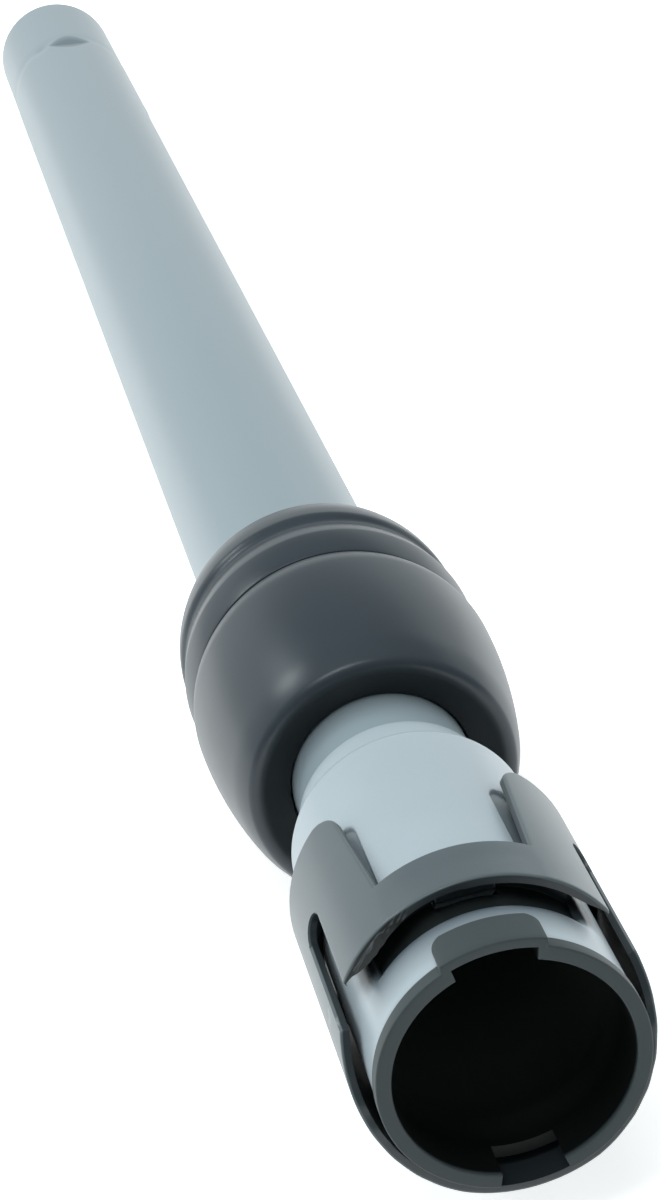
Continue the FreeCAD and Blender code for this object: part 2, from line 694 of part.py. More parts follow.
def make_pawl_spring():
    """Bent leaf: seated on the carrier behind the pawl, its tip presses on the pawl's back."""
    body = new_body("pawl_spring")
    seat_back = carrier_back - fit_gap
    seat_front = seat_back - leaf_seat_length
    tip = pawl_back - leaf_reach
    seat_r = carrier_r + fit_gap
    tip_r = pawl_back_r + fit_gap
    strip = [(seat_back, -seat_r), (seat_front, -seat_r), (pawl_back, -tip_r), (tip, -tip_r),
             (tip, -tip_r - leaf_strip), (pawl_back, -tip_r - leaf_strip), (seat_front, -seat_r - leaf_strip),
             (seat_back, -seat_r - leaf_strip)]
    pressed(body, "Pad", "YZ_Plane", "pawl_leaf", strip, 2 * leaf_half_width, "both")
    return body


def make_sleeve_spring():
    """Folded leaf along the top of the carrier: it pushes the sleeve's hub away from the stop flange."""
    body = new_body("sleeve_spring")
    start = hub_back + fit_gap
    step = (stop_front - fit_gap - start) / fold_count
    low_r = carrier_r + fit_gap
    folds = int(fold_count.value) + 1
    under = [(start + index * step, low_r + (index % 2) * fold_rise) for index in range(folds)]
    over = [(along, radius + leaf_strip) for along, radius in reversed(under)]
    pressed(body, "Pad", "YZ_Plane", "sleeve_leaf", over + under, 2 * leaf_half_width, "both")
    return body


def make_sleeve_shell():
    """Dark bulb-shaped grip: dished front round the neck, swelling to a crest, hollow behind its hub."""
    hole_r = inner_r + sleeve_hole_gap
    dish_y = hub_front - dish_depth
    dish_r = hole_r + dish_width
    return turned("sleeve_shell", [
        (hub_front, hole_r), (dish_y, dish_r, dish_bend_r), (dish_y + lip_run, dish_r + lip_rise, -lip_bend_r),
        (crest_y, crest_r, -crest_bend_r), (parting_y, parting_r, -shoulder_bend_r), (parting_y, seat_r),
        (stop_back, seat_r), (stop_back, waist_r), (hub_back + waist_run, waist_r),
        (hub_back, carrier_r + spring_pocket), (hub_back, hole_r)])


def make_ribbed_ring():
    """Dark ring behind the bulb with two ridges, a spigot that plugs into the bulb and a hole for the tube."""
    spigot_front = cam_back + fit_gap
    inside_r = plug_r - ring_spigot_wall
    hole_r = outer_r + ring_hole_gap
    ridge_r = parting_r + ridge_rise
    drop_r = ridge_r - ridge_drop
    rim_r = drop_r - valley_drop
    return turned("ribbed_ring", [
        (spigot_front, inside_r), (ring_back - ring_end_wall, inside_r), (ring_back - ring_end_wall, hole_r),
        (ring_back, hole_r), (ring_back, rim_r - rim_drop), (ring_back - rim_land, rim_r - rim_drop),
        (rim_y, rim_r, rim_bend_r), (drop_y, drop_r, -valley_bend_r), (ridge_y, ridge_r, ridge_drop_bend_r),
        (ring_front, parting_r, ridge_bend_r), (ring_front, plug_r), (spigot_front, plug_r)])


pieces = [
    make_bore_liner(), make_connector_body(), make_release_collar(), make_collar_spring(), make_socket_seal(),
    make_inner_tube(),
    make_rear_ring("rear_seal_ring", rear_seal_front, rear_seal_back, wiper_gap),
    make_rear_ring("rear_slide_bush", rear_bush_front, rear_bush_back, run_gap),
    make_outer_tube(), make_lock_carrier(), make_wiper_seal(), make_cam_ring(), make_lock_pawl(),
    make_pawl_spring(), make_sleeve_spring(), make_sleeve_shell(), make_ribbed_ring(),
]
doc.recompute()

for thing in doc.Objects:
    if "Invalid" in thing.State or "Error" in thing.State:
        raise RuntimeError(f"{thing.Name} failed: {thing.State}")
for piece in pieces:
    if piece.Shape.isNull() or not piece.Shape.isValid():
        raise RuntimeError(f"{piece.Label} has no valid shape")

os.makedirs("parts", exist_ok=True)
for piece in pieces:
    piece.Shape.exportStep(os.path.join("parts", f"{piece.Label}.step"))
    print(f"{piece.Label}: {len(piece.Shape.Solids)} solid, {piece.Shape.Volume:.1f} mm3")
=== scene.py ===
# %% [markdown]
# # A telescopic vacuum wand
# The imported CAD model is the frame: every body, joint and size comes from it.
# This lesson dresses that frame. Each visible shell is rebuilt as one smooth
# numpy surface in the same place, and each gets a finish made of shader nodes.

# %% Load the frame
import math

import bpy
import numpy as np
from mathutils import Matrix


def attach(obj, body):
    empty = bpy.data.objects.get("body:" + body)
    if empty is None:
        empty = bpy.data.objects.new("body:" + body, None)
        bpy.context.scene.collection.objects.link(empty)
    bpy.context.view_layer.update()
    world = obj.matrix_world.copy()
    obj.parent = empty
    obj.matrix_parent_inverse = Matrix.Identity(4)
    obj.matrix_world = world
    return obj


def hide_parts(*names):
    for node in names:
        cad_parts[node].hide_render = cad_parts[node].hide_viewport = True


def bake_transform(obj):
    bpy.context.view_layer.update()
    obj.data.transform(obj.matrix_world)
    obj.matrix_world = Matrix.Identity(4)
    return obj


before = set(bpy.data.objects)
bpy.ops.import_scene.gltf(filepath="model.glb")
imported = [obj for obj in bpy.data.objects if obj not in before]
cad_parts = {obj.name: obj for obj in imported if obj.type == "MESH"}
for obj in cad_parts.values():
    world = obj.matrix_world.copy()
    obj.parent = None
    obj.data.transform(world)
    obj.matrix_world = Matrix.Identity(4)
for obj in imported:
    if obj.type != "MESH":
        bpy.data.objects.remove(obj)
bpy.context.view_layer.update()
print("nodes:", sorted(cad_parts))

# %% [markdown]
# ## From numbers to a mesh
# Sizes below are in millimetres along the wand (y) and out from its axis (r).
# The clock angle runs from the top of the wand towards +X. A mesh could be
# built vertex by vertex, but foreach_set copies whole arrays and needs no loop.

# %% Mesh helpers
MM = 0.001
SMOOTH_BELOW = math.radians(35.0)


def around(y, r, clock):
    """Points of a round thing: x = r sin(clock), y as given, z = r cos(clock)."""
    y, r, clock = np.broadcast_arrays(y, r, np.radians(clock))
    return np.stack([r * np.sin(clock), y, r * np.cos(clock)], axis=-1)


def put(name, points, quads):
    """A mesh object from points in millimetres and rows of four corners; unused points go."""
    used, quads = np.unique(quads, return_inverse=True)
    quads = quads.reshape(-1, 4)
    points = points.reshape(-1, 3)[used] * MM
    mesh = bpy.data.meshes.new(name)
    mesh.vertices.add(len(points))
    mesh.vertices.foreach_set("co", points.astype(np.float32).ravel())
    mesh.loops.add(quads.size)
    mesh.loops.foreach_set("vertex_index", quads.astype(np.int32).ravel())
    mesh.polygons.add(len(quads))
    mesh.polygons.foreach_set("loop_start", np.arange(0, quads.size, 4, dtype=np.int32))
    mesh.update(calc_edges=True)
    mesh.polygons.foreach_set("use_smooth", np.ones(len(quads), dtype=bool))
    mesh.set_sharp_from_angle(angle=SMOOTH_BELOW)
    piece = bpy.data.objects.new(name, mesh)
    bpy.context.collection.objects.link(piece)
    print(name, len(points), "points", len(quads), "faces")
    return piece


def settle(piece, body, slot, finish, *nodes):
    """Gives a piece its body and finish, and hides the nodes it stands for; the slot is not used."""
    piece.data.materials.clear()
    piece.data.materials.append(finish)
    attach(piece, body)
    if nodes:
        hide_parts(*nodes)


# %% [markdown]
# ## Profiles
# A turned part is a closed outline carried round the axis. It is written as
# corners; a third number makes the run to that corner an arc, to the left when
# it is positive. A bevel would round all corners alike, so the outline is
# sampled finely and blurred along its length, as a mould rounds it.

# %% Profile helpers
def trace(corners, step=0.1):
    """Points along corners (y, r) or (y, r, radius), closed.

    An arc's centre lies on the chord's midline, sqrt(radius^2 - half^2) from
    it, on the left for a positive radius. The angle runs evenly along it.
    """
    runs = []
    for start, end in zip([corners[-1]] + corners[:-1], corners):
        a, b = np.array(start[:2], float), np.array(end[:2], float)
        chord = b - a
        length = np.hypot(*chord)
        count = max(2, int(np.ceil(length / step)))
        t = np.linspace(0, 1, count, endpoint=False)[:, None]
        if len(end) == 2:
            runs.append(a + chord * t)
            continue
        radius = end[2]
        left = np.array([-chord[1], chord[0]]) / length
        reach = math.sqrt(radius ** 2 - (length / 2) ** 2)
        centre = (a + b) / 2 + left * np.sign(radius) * reach
        turn = 2 * math.asin(length / 2 / abs(radius)) * np.sign(radius)
        arm = a - centre
        c, s = np.cos(turn * t), np.sin(turn * t)
        runs.append(centre + np.hstack([arm[0] * c - arm[1] * s, arm[0] * s + arm[1] * c]))
    return np.vstack(runs)


def even(loop, step):
    """The closed loop sampled again at even spacing, by its running length."""
    closed = np.vstack([loop, loop[:1]])
    run = np.concatenate([[0], np.cumsum(np.hypot(*np.diff(closed, axis=0).T))])
    at = np.linspace(0, run[-1], int(run[-1] / step), endpoint=False)
    return np.stack([np.interp(at, run, closed[:, k]) for k in (0, 1)], axis=-1)


def moulded(corners, blur, step=0.05, turn=5.0, span=2.5):
    """A closed outline with its corners rounded, and few points where it is straight.

    The blur is a Gaussian along the outline, applied by Fourier transform.
    A point is kept each time turning / turn + length / span grows by one.
    """
    loop = even(trace(corners), step)
    wave = np.fft.fftfreq(len(loop), step)[:, None]
    gauss = np.exp(-2 * (np.pi * blur * wave) ** 2)
    loop = np.fft.ifft(np.fft.fft(loop, axis=0) * gauss, axis=0).real
    edge = np.roll(loop, -1, axis=0) - loop
    heading = np.arctan2(edge[:, 1], edge[:, 0])
    bend = np.abs((np.diff(heading, prepend=heading[-1]) + np.pi) % (2 * np.pi) - np.pi)
    total = np.floor(np.cumsum(bend / np.radians(turn) + np.hypot(*edge.T) / span))
    return loop[total != np.roll(total, 1)]


def spun(name, outline, columns=144):
    """A closed outline of (y, r) carried once round the axis, its faces turned outwards."""
    y, r = outline.T
    area = np.sum(y * np.roll(r, -1) - np.roll(y, -1) * r)
    if area < 0:
        y, r = y[::-1], r[::-1]
    clock = np.linspace(0, 360, columns, endpoint=False)
    points = around(y[:, None], r[:, None], clock[None, :])
    here = np.arange(points.shape[0] * columns).reshape(-1, columns)
    on = np.roll(here, -1, axis=0)
    quads = np.stack([here, on, np.roll(on, -1, axis=1), np.roll(here, -1, axis=1)], axis=-1)
    return put(name, points, quads.reshape(-1, 4))


# %% [markdown]
# ## Shells with openings
# The mouth parts are thin shells with windows and slits. Booleans would leave
# ragged edges. Instead a grid of rows along the wand and columns round it is
# laid twice, on the outer and the inner face. Cells that a mask leaves out
# become openings, and walls close the rim.

# %% Shell helpers
def stops(breaks, step):
    """Rising values through every break, with gaps no larger than the step."""
    breaks = sorted(breaks)
    runs = [np.linspace(a, b, max(1, math.ceil((b - a) / step - 1e-6)), endpoint=False)
            for a, b in zip(breaks[:-1], breaks[1:])]
    return np.concatenate(runs + [[breaks[-1]]])


def both_sides(clock):
    """Clock angles 0 to 180 and their mirror images, as one closed turn."""
    return np.concatenate([-clock[:0:-1], clock[:-1]])


def cell_middles(rows, columns, last):
    """The middle of each cell: y for the rows, and the size of the clock angle for the columns."""
    y = (rows[1:] + rows[:-1]) / 2
    clock = np.abs((columns + np.append(columns[1:], last)) / 2)
    return y[:, None], clock[None, :]


def shell(name, outer, inner, keep):
    """A closed shell between two grids (rows, columns, 3) whose columns close up.

    keep says for each cell whether it is there. The outer sheet takes the cell
    corners clockwise seen from inside, the inner sheet the other way, and a
    wall joins the sheets along each edge between a kept and a missing cell.
    """
    rows, columns = outer.shape[:2]
    here = np.arange(rows * columns).reshape(rows, columns)
    beside = np.roll(here, -1, axis=1)
    deep = rows * columns
    a, b, c, d = here[:-1], beside[:-1], beside[1:], here[1:]
    faces = [np.stack([a, b, c, d], -1)[keep], np.stack([d, c, b, a], -1)[keep] + deep]
    padded = np.pad(keep, ((1, 1), (0, 0)))
    first = padded[1:] & ~padded[:-1]
    last = padded[:-1] & ~padded[1:]
    faces.append(np.stack([beside, here, here + deep, beside + deep], -1)[first])
    faces.append(np.stack([here, beside, beside + deep, here + deep], -1)[last])
    before = np.roll(keep, 1, axis=1)
    faces.append(np.stack([a, d, d + deep, a + deep], -1)[keep & ~before])
    faces.append(np.stack([d, a, a + deep, d + deep], -1)[before & ~keep])
    return put(name, np.stack([outer, inner]), np.vstack(faces))


def rolled(depth, size):
    """How far a round edge falls back at a depth: size - sqrt(size^2 - (size - depth)^2)."""
    short = (size - depth).clip(0, size)
    return size - np.sqrt(size ** 2 - short ** 2)


def smooth_step(x, low, high):
    """0 below low, 1 above high and 3t^2 - 2t^3 between, where t runs from 0 to 1."""
    t = np.clip((x - low) / (high - low), 0, 1)
    return t * t * (3 - 2 * t)


def drawn_in(y, start, corner):
    """How far a side moves in to round its last corner: corner - sqrt(corner^2 - (y - start)^2)."""
    return corner - np.sqrt((corner ** 2 - (y - start).clip(0, corner) ** 2).clip(0))


# %% [markdown]
# ## Finishes
# A finish is a Principled shader whose colour, roughness and bump come from
# noise on Object coordinates. Nodes could be placed and linked one by one, but
# wrapping a socket in a small class lets the shader maths read as plain sums.

# %% Node wrapper
def maths(operation, swapped=False):
    """A method that adds a Math node; swapped puts the socket second, as in 1 - mask."""
    def method(self, other):
        pair = (other, self) if swapped else (self, other)
        return self.tree.node("ShaderNodeMath", {"operation": operation}, dict(enumerate(pair)))
    return method


class Value:
    """One output socket; plus, minus, times and powers on it add Math nodes."""

    def __init__(self, tree, socket):
        self.tree, self.socket = tree, socket

    __add__, __radd__ = maths("ADD"), maths("ADD", swapped=True)
    __sub__, __rsub__ = maths("SUBTRACT"), maths("SUBTRACT", swapped=True)
    __mul__, __rmul__ = maths("MULTIPLY"), maths("MULTIPLY", swapped=True)
    __pow__ = maths("POWER")


class Tree:
    """A node tree: any node comes from one method, and sockets come back wrapped."""

    def __init__(self, tree, coordinates):
        self.tree = tree
        self.place = self.node("ShaderNodeTexCoord", {}, {}, coordinates)

    def plug(self, socket, value):
        """Links a wrapped socket, or sets a plain number or colour."""
        if isinstance(value, Value):
            self.tree.links.new(value.socket, socket)
        else:
            socket.default_value = value

    def node(self, kind, settings, inputs, output=0):
        """Any node: its type, its settings, then the values or links of its sockets."""
        made = self.tree.nodes.new(kind)
        for key, value in settings.items():
            setattr(made, key, value)
        for key, value in inputs.items():
            self.plug(made.inputs[key], value)
        return Value(self, made.outputs[output])

    def axes(self):
        """The x, y and z of the coordinates as three values."""
        return [self.node("ShaderNodeSeparateXYZ", {}, {0: self.place}, k) for k in range(3)]

    def ramp(self, value, low, high):
        """0 to 1 as the value goes from low to high, held outside."""
        return self.node("ShaderNodeMapRange", {"clamp": True}, {
            "Value": value, "From Min": low, "From Max": high})

    def blend(self, factor, first, second):
        """A colour between two colours."""
        return self.node("ShaderNodeMix", {"data_type": "RGBA"}, {0: factor, 6: first, 7: second}, 2)

    def seen(self):
        """1 for rays that draw the background: from the camera, or off gloss, or through glass."""
        kinds = ("Is Camera Ray", "Is Glossy Ray", "Is Transmission Ray")
        camera, gloss, glass = [self.node("ShaderNodeLightPath", {}, {}, kind) for kind in kinds]
        return self.ramp(camera + gloss + glass, 0.0, 1.0)


def rgb(red, green, blue):
    """A colour given as screen values 0 to 255, as the linear colour a shader wants."""
    screen = np.array([red, green, blue]) / 255
    linear = np.where(screen <= 0.04045, screen / 12.92, ((screen + 0.055) / 1.055) ** 2.4)
    return (*linear.tolist(), 1.0)


class Finish(Tree):
    """A material under construction: its node tree and its shader."""

    def __init__(self, name, **constants):
        self.material = bpy.data.materials.new(name)
        self.material.use_nodes = True
        super().__init__(self.material.node_tree, "Object")
        self.shader = self.tree.nodes["Principled BSDF"]
        for key, value in constants.items():
            socket = key.replace("_", " ").title().replace("Ior", "IOR")
            self.shader.inputs[socket].default_value = value

    def past(self, value, low, high):
        """A ramp whose two ends are in millimetres; it falls where the first is the larger."""
        return self.ramp(value, low * MM, high * MM)

    def radius(self):
        """Distance from the wand's axis: the root of x squared plus z squared."""
        x, _, z = self.axes()
        return (x * x + z * z) ** 0.5

    def noise(self, scale, detail=2.0, stretch=(1, 1, 1), turn=(0, 0, 0)):
        """Noise from 0 to 1 on Object coordinates, its grains longer where stretch is small."""
        place = self.node("ShaderNodeMapping", {"vector_type": "TEXTURE"}, {
            "Vector": self.place, "Rotation": turn, "Scale": [1 / s for s in stretch]})
        return self.node("ShaderNodeTexNoise", {}, {"Vector": place, "Scale": scale, "Detail": detail})

    def moulding(self, dark, light, grain):
        """Two close colours clouded together: the colour, the clouds and the fine grain."""
        cloud, fine = self.noise(45.0, 3.0), self.noise(grain)
        return self.blend(cloud * 0.7 + fine * 0.3, dark, light), cloud, fine

    def spot(self, centre, size):
        """1 at a centre given in millimetres, falling to 0 at the size's distance."""
        away = self.node("ShaderNodeVectorMath", {"operation": "DISTANCE"}, {
            0: self.place, 1: [c * MM for c in centre]}, "Value")
        return 1 - self.past(away, 0.0, size)

    def dress(self, colour, roughness, height, depth):
        """Links what varies: base colour, roughness, and a bump as deep as given in millimetres."""
        bump = self.node("ShaderNodeBump", {}, {"Height": height, "Distance": depth * MM}, "Normal")
        for name, value in (("Base Color", colour), ("Roughness", roughness), ("Normal", bump)):
            self.plug(self.shader.inputs[name], value)
        print("finish", self.material.name)
        return self.material


# %% [markdown]
# ## Tube paint
# Both tubes are drawn steel under a satin grey paint. A flat grey would look
# like card, so clouds and faint streaks along the wand vary colour and gloss,
# and a fine orange peel is bump. Shade is painted into the latch notch.

# %% Tube paint
def tube_paint():
    """Two greys mixed by streaks and clouds, then painted shade where the radius is small near the far end,
    in the latch notch.
    """
    made = Finish("tube_paint")
    y = made.axes()[1]
    streak = made.noise(60.0, 3.0, stretch=(1, 0.03, 1))
    cloud = made.noise(25.0, stretch=(1, 0.35, 1))
    peel = made.noise(900.0)
    speck = made.noise(2600.0, 1.0)
    colour = made.blend(streak * 0.6 + cloud * 0.4, rgb(140, 154, 160), rgb(156, 169, 175))
    # painted shade: the paint is darker where the latch notch sinks in near the far end
    notch_shade = made.past(made.radius(), 17.42, 16.8) * made.past(y, 526.0, 532.0)
    colour = made.blend(notch_shade, colour, rgb(120, 133, 139))
    return made.dress(colour, 0.285 + 0.06 * streak + 0.04 * cloud, peel * 0.7 + speck * 0.3, 0.008)


PAINT = tube_paint()

# %% [markdown]
# ## Plain mouldings
# The bushes inside are pale plastic and the seals are rubber. They need no
# wear, so one function makes both: clouded colour and a spark-eroded grain.

# %% Inner plastic and rubber
def moulded_plastic(name, dark, light, rough, grain, depth):
    """Two close colours clouded together, with a fine and a coarse grain as bump."""
    made = Finish(name)
    colour, cloud, fine = made.moulding(dark, light, grain)
    coarse = made.noise(grain * 0.35)
    return made.dress(colour, rough - 0.04 + 0.08 * cloud, fine * 0.7 + coarse * 0.3, depth)


INNER_PLASTIC = moulded_plastic(
    "inner_plastic", rgb(190, 190, 184), rgb(210, 210, 205), rough=0.45, grain=2200.0, depth=0.006)
RUBBER = moulded_plastic(
    "seal_rubber", rgb(24, 24, 24), rgb(36, 36, 36), rough=0.75, grain=1800.0, depth=0.01)

# %% [markdown]
# ## Collar plastic
# The collar is worn: its torn left front edge shows the dark inside of the
# plastic with pale scratches, and its slits are scuffed. A painted texture would
# need an image, so each mark is a mask of ramps or spots in Object coordinates.

# %% Collar plastic
SCUFFS = [((-21.6, 33.0, 7.4), 1.6), ((-22.3, 20.0, 3.2), 2.2), ((-21.9, 14.0, 5.6), 1.4)]


def collar_plastic():
    """Grained grey, with painted shade on the faces below the outer skin, torn where the front edge lies on
    the left, scuffed in spots.
    """
    made = Finish("collar_plastic")
    x, y, z = made.axes()
    radius = made.radius()
    colour, cloud, fine = made.moulding(rgb(82, 92, 96), rgb(98, 108, 112), 3000.0)
    coarse = made.noise(1000.0)
    # painted shade: faces below the outer skin (front walls, edges, inner face) are darker
    edge_face_shade = made.past(radius, 22.45, 22.32)
    colour = made.blend(edge_face_shade, colour, rgb(46, 53, 56))
    front_edge = made.past(y, 15.2, 15.02) * made.past(z, 7.0, 9.0)
    torn = front_edge * made.past(x, -8.0, -10.0) * made.past(radius, 22.72, 22.6)
    lines = made.noise(2600.0, 4.0, stretch=(0.06, 1, 1), turn=(0, -0.87, 0))
    bare = made.blend(made.ramp(lines, 0.55, 0.75), rgb(24, 28, 29), rgb(98, 105, 107))
    colour = made.blend(torn, colour, bare)
    scuffed = sum(made.spot(centre, size) for centre, size in SCUFFS)
    chips = made.noise(1600.0, 3.0, stretch=(1, 0.25, 1))
    colour = made.blend(scuffed * made.ramp(chips, 0.52, 0.64), colour, rgb(170, 176, 178))
    height = fine * 0.7 + coarse * 0.3 + torn * lines * 6.0
    return made.dress(colour, 0.285 + 0.06 * cloud + 0.15 * torn, height, 0.012)


COLLAR_PLASTIC = collar_plastic()

# %% [markdown]
# ## Liner plastic
# One dark moulding lines the socket: grey on its rim and hood. Shade is painted
# into the bore, from black near the mouth to grey deeper in, and onto its outside
# under the connector's slot. A second material would leave a hard edge, so masks
# by radius and depth blend the greys.

# %% Liner plastic
def liner_plastic():
    """Grey on rim and hood; painted shade under the slot; painted shade in the bore, from black to grey with
    depth.
    """
    made = Finish("liner_plastic", specular_ior_level=0.3)
    y = made.axes()[1]
    radius = made.radius()
    rim, cloud, fine = made.moulding(rgb(57, 65, 67), rgb(69, 77, 79), 2600.0)
    openings = made.past(radius, 19.75, 19.63) * made.past(y, 9.5, 9.0)
    bore = made.past(radius, 18.3, 18.2)
    # painted shade: bore, keyway and notch walls go black near the mouth, grey deeper in
    inside = made.past(y, 0.4, 0.9) * made.ramp(openings + bore, 0.0, 1.0)
    deep = made.blend(made.past(y, 8.0, 35.0), rgb(13, 16, 16), rgb(90, 97, 94))
    # painted shade on the liner's outside where it shows under the connector's slot
    shade_under_slot = made.past(radius, 18.9, 18.7) * made.past(y, 9.0, 9.5)
    colour = made.blend(inside, made.blend(shade_under_slot, rim, rgb(28, 33, 34)), deep)
    return made.dress(colour, 0.45 + 0.08 * cloud, fine, 0.01)


LINER_PLASTIC = liner_plastic()

# %% [markdown]
# ## Sleeve plastic
# The bulb and its ring are slate grey and polished by hands. Shade is painted
# into the dish in front: a ramp on the radius darkens it.

# %% Sleeve plastic
def dark_plastic():
    """Clouded slate grey, with painted shade that falls to near black as the radius shrinks in front of the
    hub.
    """
    made = Finish("dark_plastic")
    colour, cloud, fine = made.moulding(rgb(43, 52, 59), rgb(55, 64, 71), 3000.0)
    coarse = made.noise(1000.0)
    # painted shade: darkens to near black as the radius shrinks in front of the hub
    dish_shade = made.past(made.radius(), 22.0, 20.0)
    colour = made.blend(dish_shade, colour, rgb(20, 26, 29))
    return made.dress(colour, 0.3 + 0.07 * cloud, fine * 0.7 + coarse * 0.3, 0.008)


DARK_PLASTIC = dark_plastic()

# %% [markdown]
# ## Connector plastic
# The connector is a smoother, paler plastic. Shade is painted in front of the
# collar's band, under it, along the rim and in the tracks. A mask along the
# wand, times one across it, puts it there.

# %% Connector plastic
def light_plastic():
    """Pale grey, with painted shade in front of the band, in the tracks, under the band and along the rim."""
    made = Finish("light_plastic", specular_ior_level=0.4)
    x, y, z = made.axes()
    colour, cloud, fine = made.moulding(rgb(170, 181, 187), rgb(186, 197, 203), 2500.0)
    before_slot_end = made.past(y, 21.0, 19.0)
    right_rise = made.past(x, -2.0, 2.0) * (2.5 * MM)
    # painted shade: darker towards the band's front edge, reaching further round on the left
    front_of_band_shade = made.past(y, 4.2, 11.4) * before_slot_end * made.past(z - right_rise, 9.5, 12.2)
    colour = made.blend(front_of_band_shade, colour, rgb(92, 102, 109))
    # painted shade in the tracks beside the wings
    track = made.past(made.radius(), 19.65, 19.25) * made.past(y, 22.0, 24.0) * made.past(y, 52.0, 51.0)
    colour = made.blend(track, colour, rgb(128, 140, 147))
    # painted shade under the band and in the seam along the rim
    under_band_shade = made.past(y, 11.2, 13.8) * before_slot_end * made.past(z, 9.2, 11.2)
    rim_seam_shade = made.past(y, 3.1, 2.7)
    colour = made.blend(made.ramp(under_band_shade + rim_seam_shade, 0.0, 1.0), colour, rgb(48, 55, 59))
    return made.dress(colour, 0.29 + 0.06 * cloud, fine, 0.002)


LIGHT_PLASTIC = light_plastic()

# %% [markdown]
# ## Felt and spring steel
# A felt ring wipes the inner tube, and rolled steel makes the springs and the
# pawl. Both are hidden, so one stretched noise is enough for pile and lines.

# %% Felt and spring steel
def combed(name, dark, light, grain, rough, change, depth, **constants):
    """One noise, stretched along the wand, gives the colour, the gloss and the height."""
    made = Finish(name, **constants)
    lines = made.noise(*grain)
    colour = made.blend(made.ramp(lines, 0.3, 0.7), dark, light)
    return made.dress(colour, rough + change * lines, lines, depth)


FELT = combed("felt", rgb(96, 96, 92), rgb(136, 136, 131), (1500.0, 4.0, (1, 0.4, 1)),
              rough=0.95, change=-0.1, depth=0.2, sheen_weight=0.4)
STEEL = combed("spring_steel", rgb(176, 176, 176), rgb(200, 200, 200), (900.0, 2.0, (1, 0.05, 1)),
               rough=0.22, change=0.2, depth=0.003, metallic=1.0)

# %% [markdown]
# ## Features pressed into the outer tube
# A tube is a height field: a radius for each place along the wand and each clock
# angle. Cutting a cylinder would leave slivers, so each pressed feature only
# takes something off the radius: guide groove, ring groove and latch notch.

# %% Pressed features
OUTER_R, OUTER_WALL, TUBE_FRONT, WAND_END = 17.6, 0.8, 104.0, 588.0
GUIDE_CLOCK, GUIDE_DIE_R, GUIDE_DEPTH, GUIDE_RUN = 75.0, 5.0, 0.9, (150.0, 491.0)
RING_RUN, RING_DEPTH = (535.5, 547.5), 0.2
LATCH_CLOCK, LATCH_FLOOR_Y, LATCH_RAMP, LATCH_WALL, LATCH_DEPTH = 7.5, 538.0, 10.0, 7.0, 1.35
LATCH_COS = 0.2


def guide_groove(y, clock, r):
    """The radius left by a bar of the die's radius pressed in along the wand.

    The bar's centre is at r + die - depth. At an angle off it, the near side
    of the bar is at centre cos(off) - sqrt(bar^2 - (centre sin(off))^2), where
    the bar grows thinner as a ball beyond its two ends.
    """
    off = np.radians(clock - GUIDE_CLOCK)
    centre = r + GUIDE_DIE_R - GUIDE_DEPTH
    beyond = np.maximum(GUIDE_RUN[0] + GUIDE_DIE_R - y, y - GUIDE_RUN[1] + GUIDE_DIE_R).clip(0)
    room = GUIDE_DIE_R ** 2 - beyond ** 2 - (centre * np.sin(off)) ** 2
    side = centre * np.cos(off) - np.sqrt(room.clip(0))
    return np.where((room > 0) & (np.cos(off) > 0), np.minimum(r, side), r)


def latch_notch(y, clock, r):
    """The radius left by a wedge filed across the top: floor height / cos(off)."""
    off = np.radians(clock - LATCH_CLOCK)
    front = (LATCH_FLOOR_Y - y) / LATCH_RAMP
    back = (y - LATCH_FLOOR_Y) / LATCH_WALL
    height = OUTER_R - LATCH_DEPTH * (1 - np.where(y < LATCH_FLOOR_Y, front, back)).clip(0)
    flat = height / np.cos(off).clip(LATCH_COS)
    return np.where((np.cos(off) > LATCH_COS) & (height < OUTER_R), np.minimum(r, flat), r)


def ring_groove(y):
    """Depth of the rolled groove: a cosine bell between its two edges."""
    low, high = RING_RUN
    t = np.clip((y - low) / (high - low), 0, 1)
    return RING_DEPTH * 0.5 * (1 - np.cos(2 * np.pi * t))


# %% [markdown]
# ## The outer tube
# The long painted tube has a slot for the lock pawl under the sleeve, and a
# small dent by its latch notch. Rows and columns are close only where it bends.

# %% Outer tube
PAWL_SLOT_RUN, PAWL_SLOT_HALF = (112.7, 119.3), 2.7
SPIGOT_STEP, SPIGOT_RUN = 0.1, (540.0, 548.0)
DENT_CLOCK, DENT_Y, DENT_DEPTH, DENT_WIDTH, DENT_LENGTH = -23.0, 538.5, 0.28, 7.0, 3.0
END_RUN, END_ROLL = 1.4, 0.35


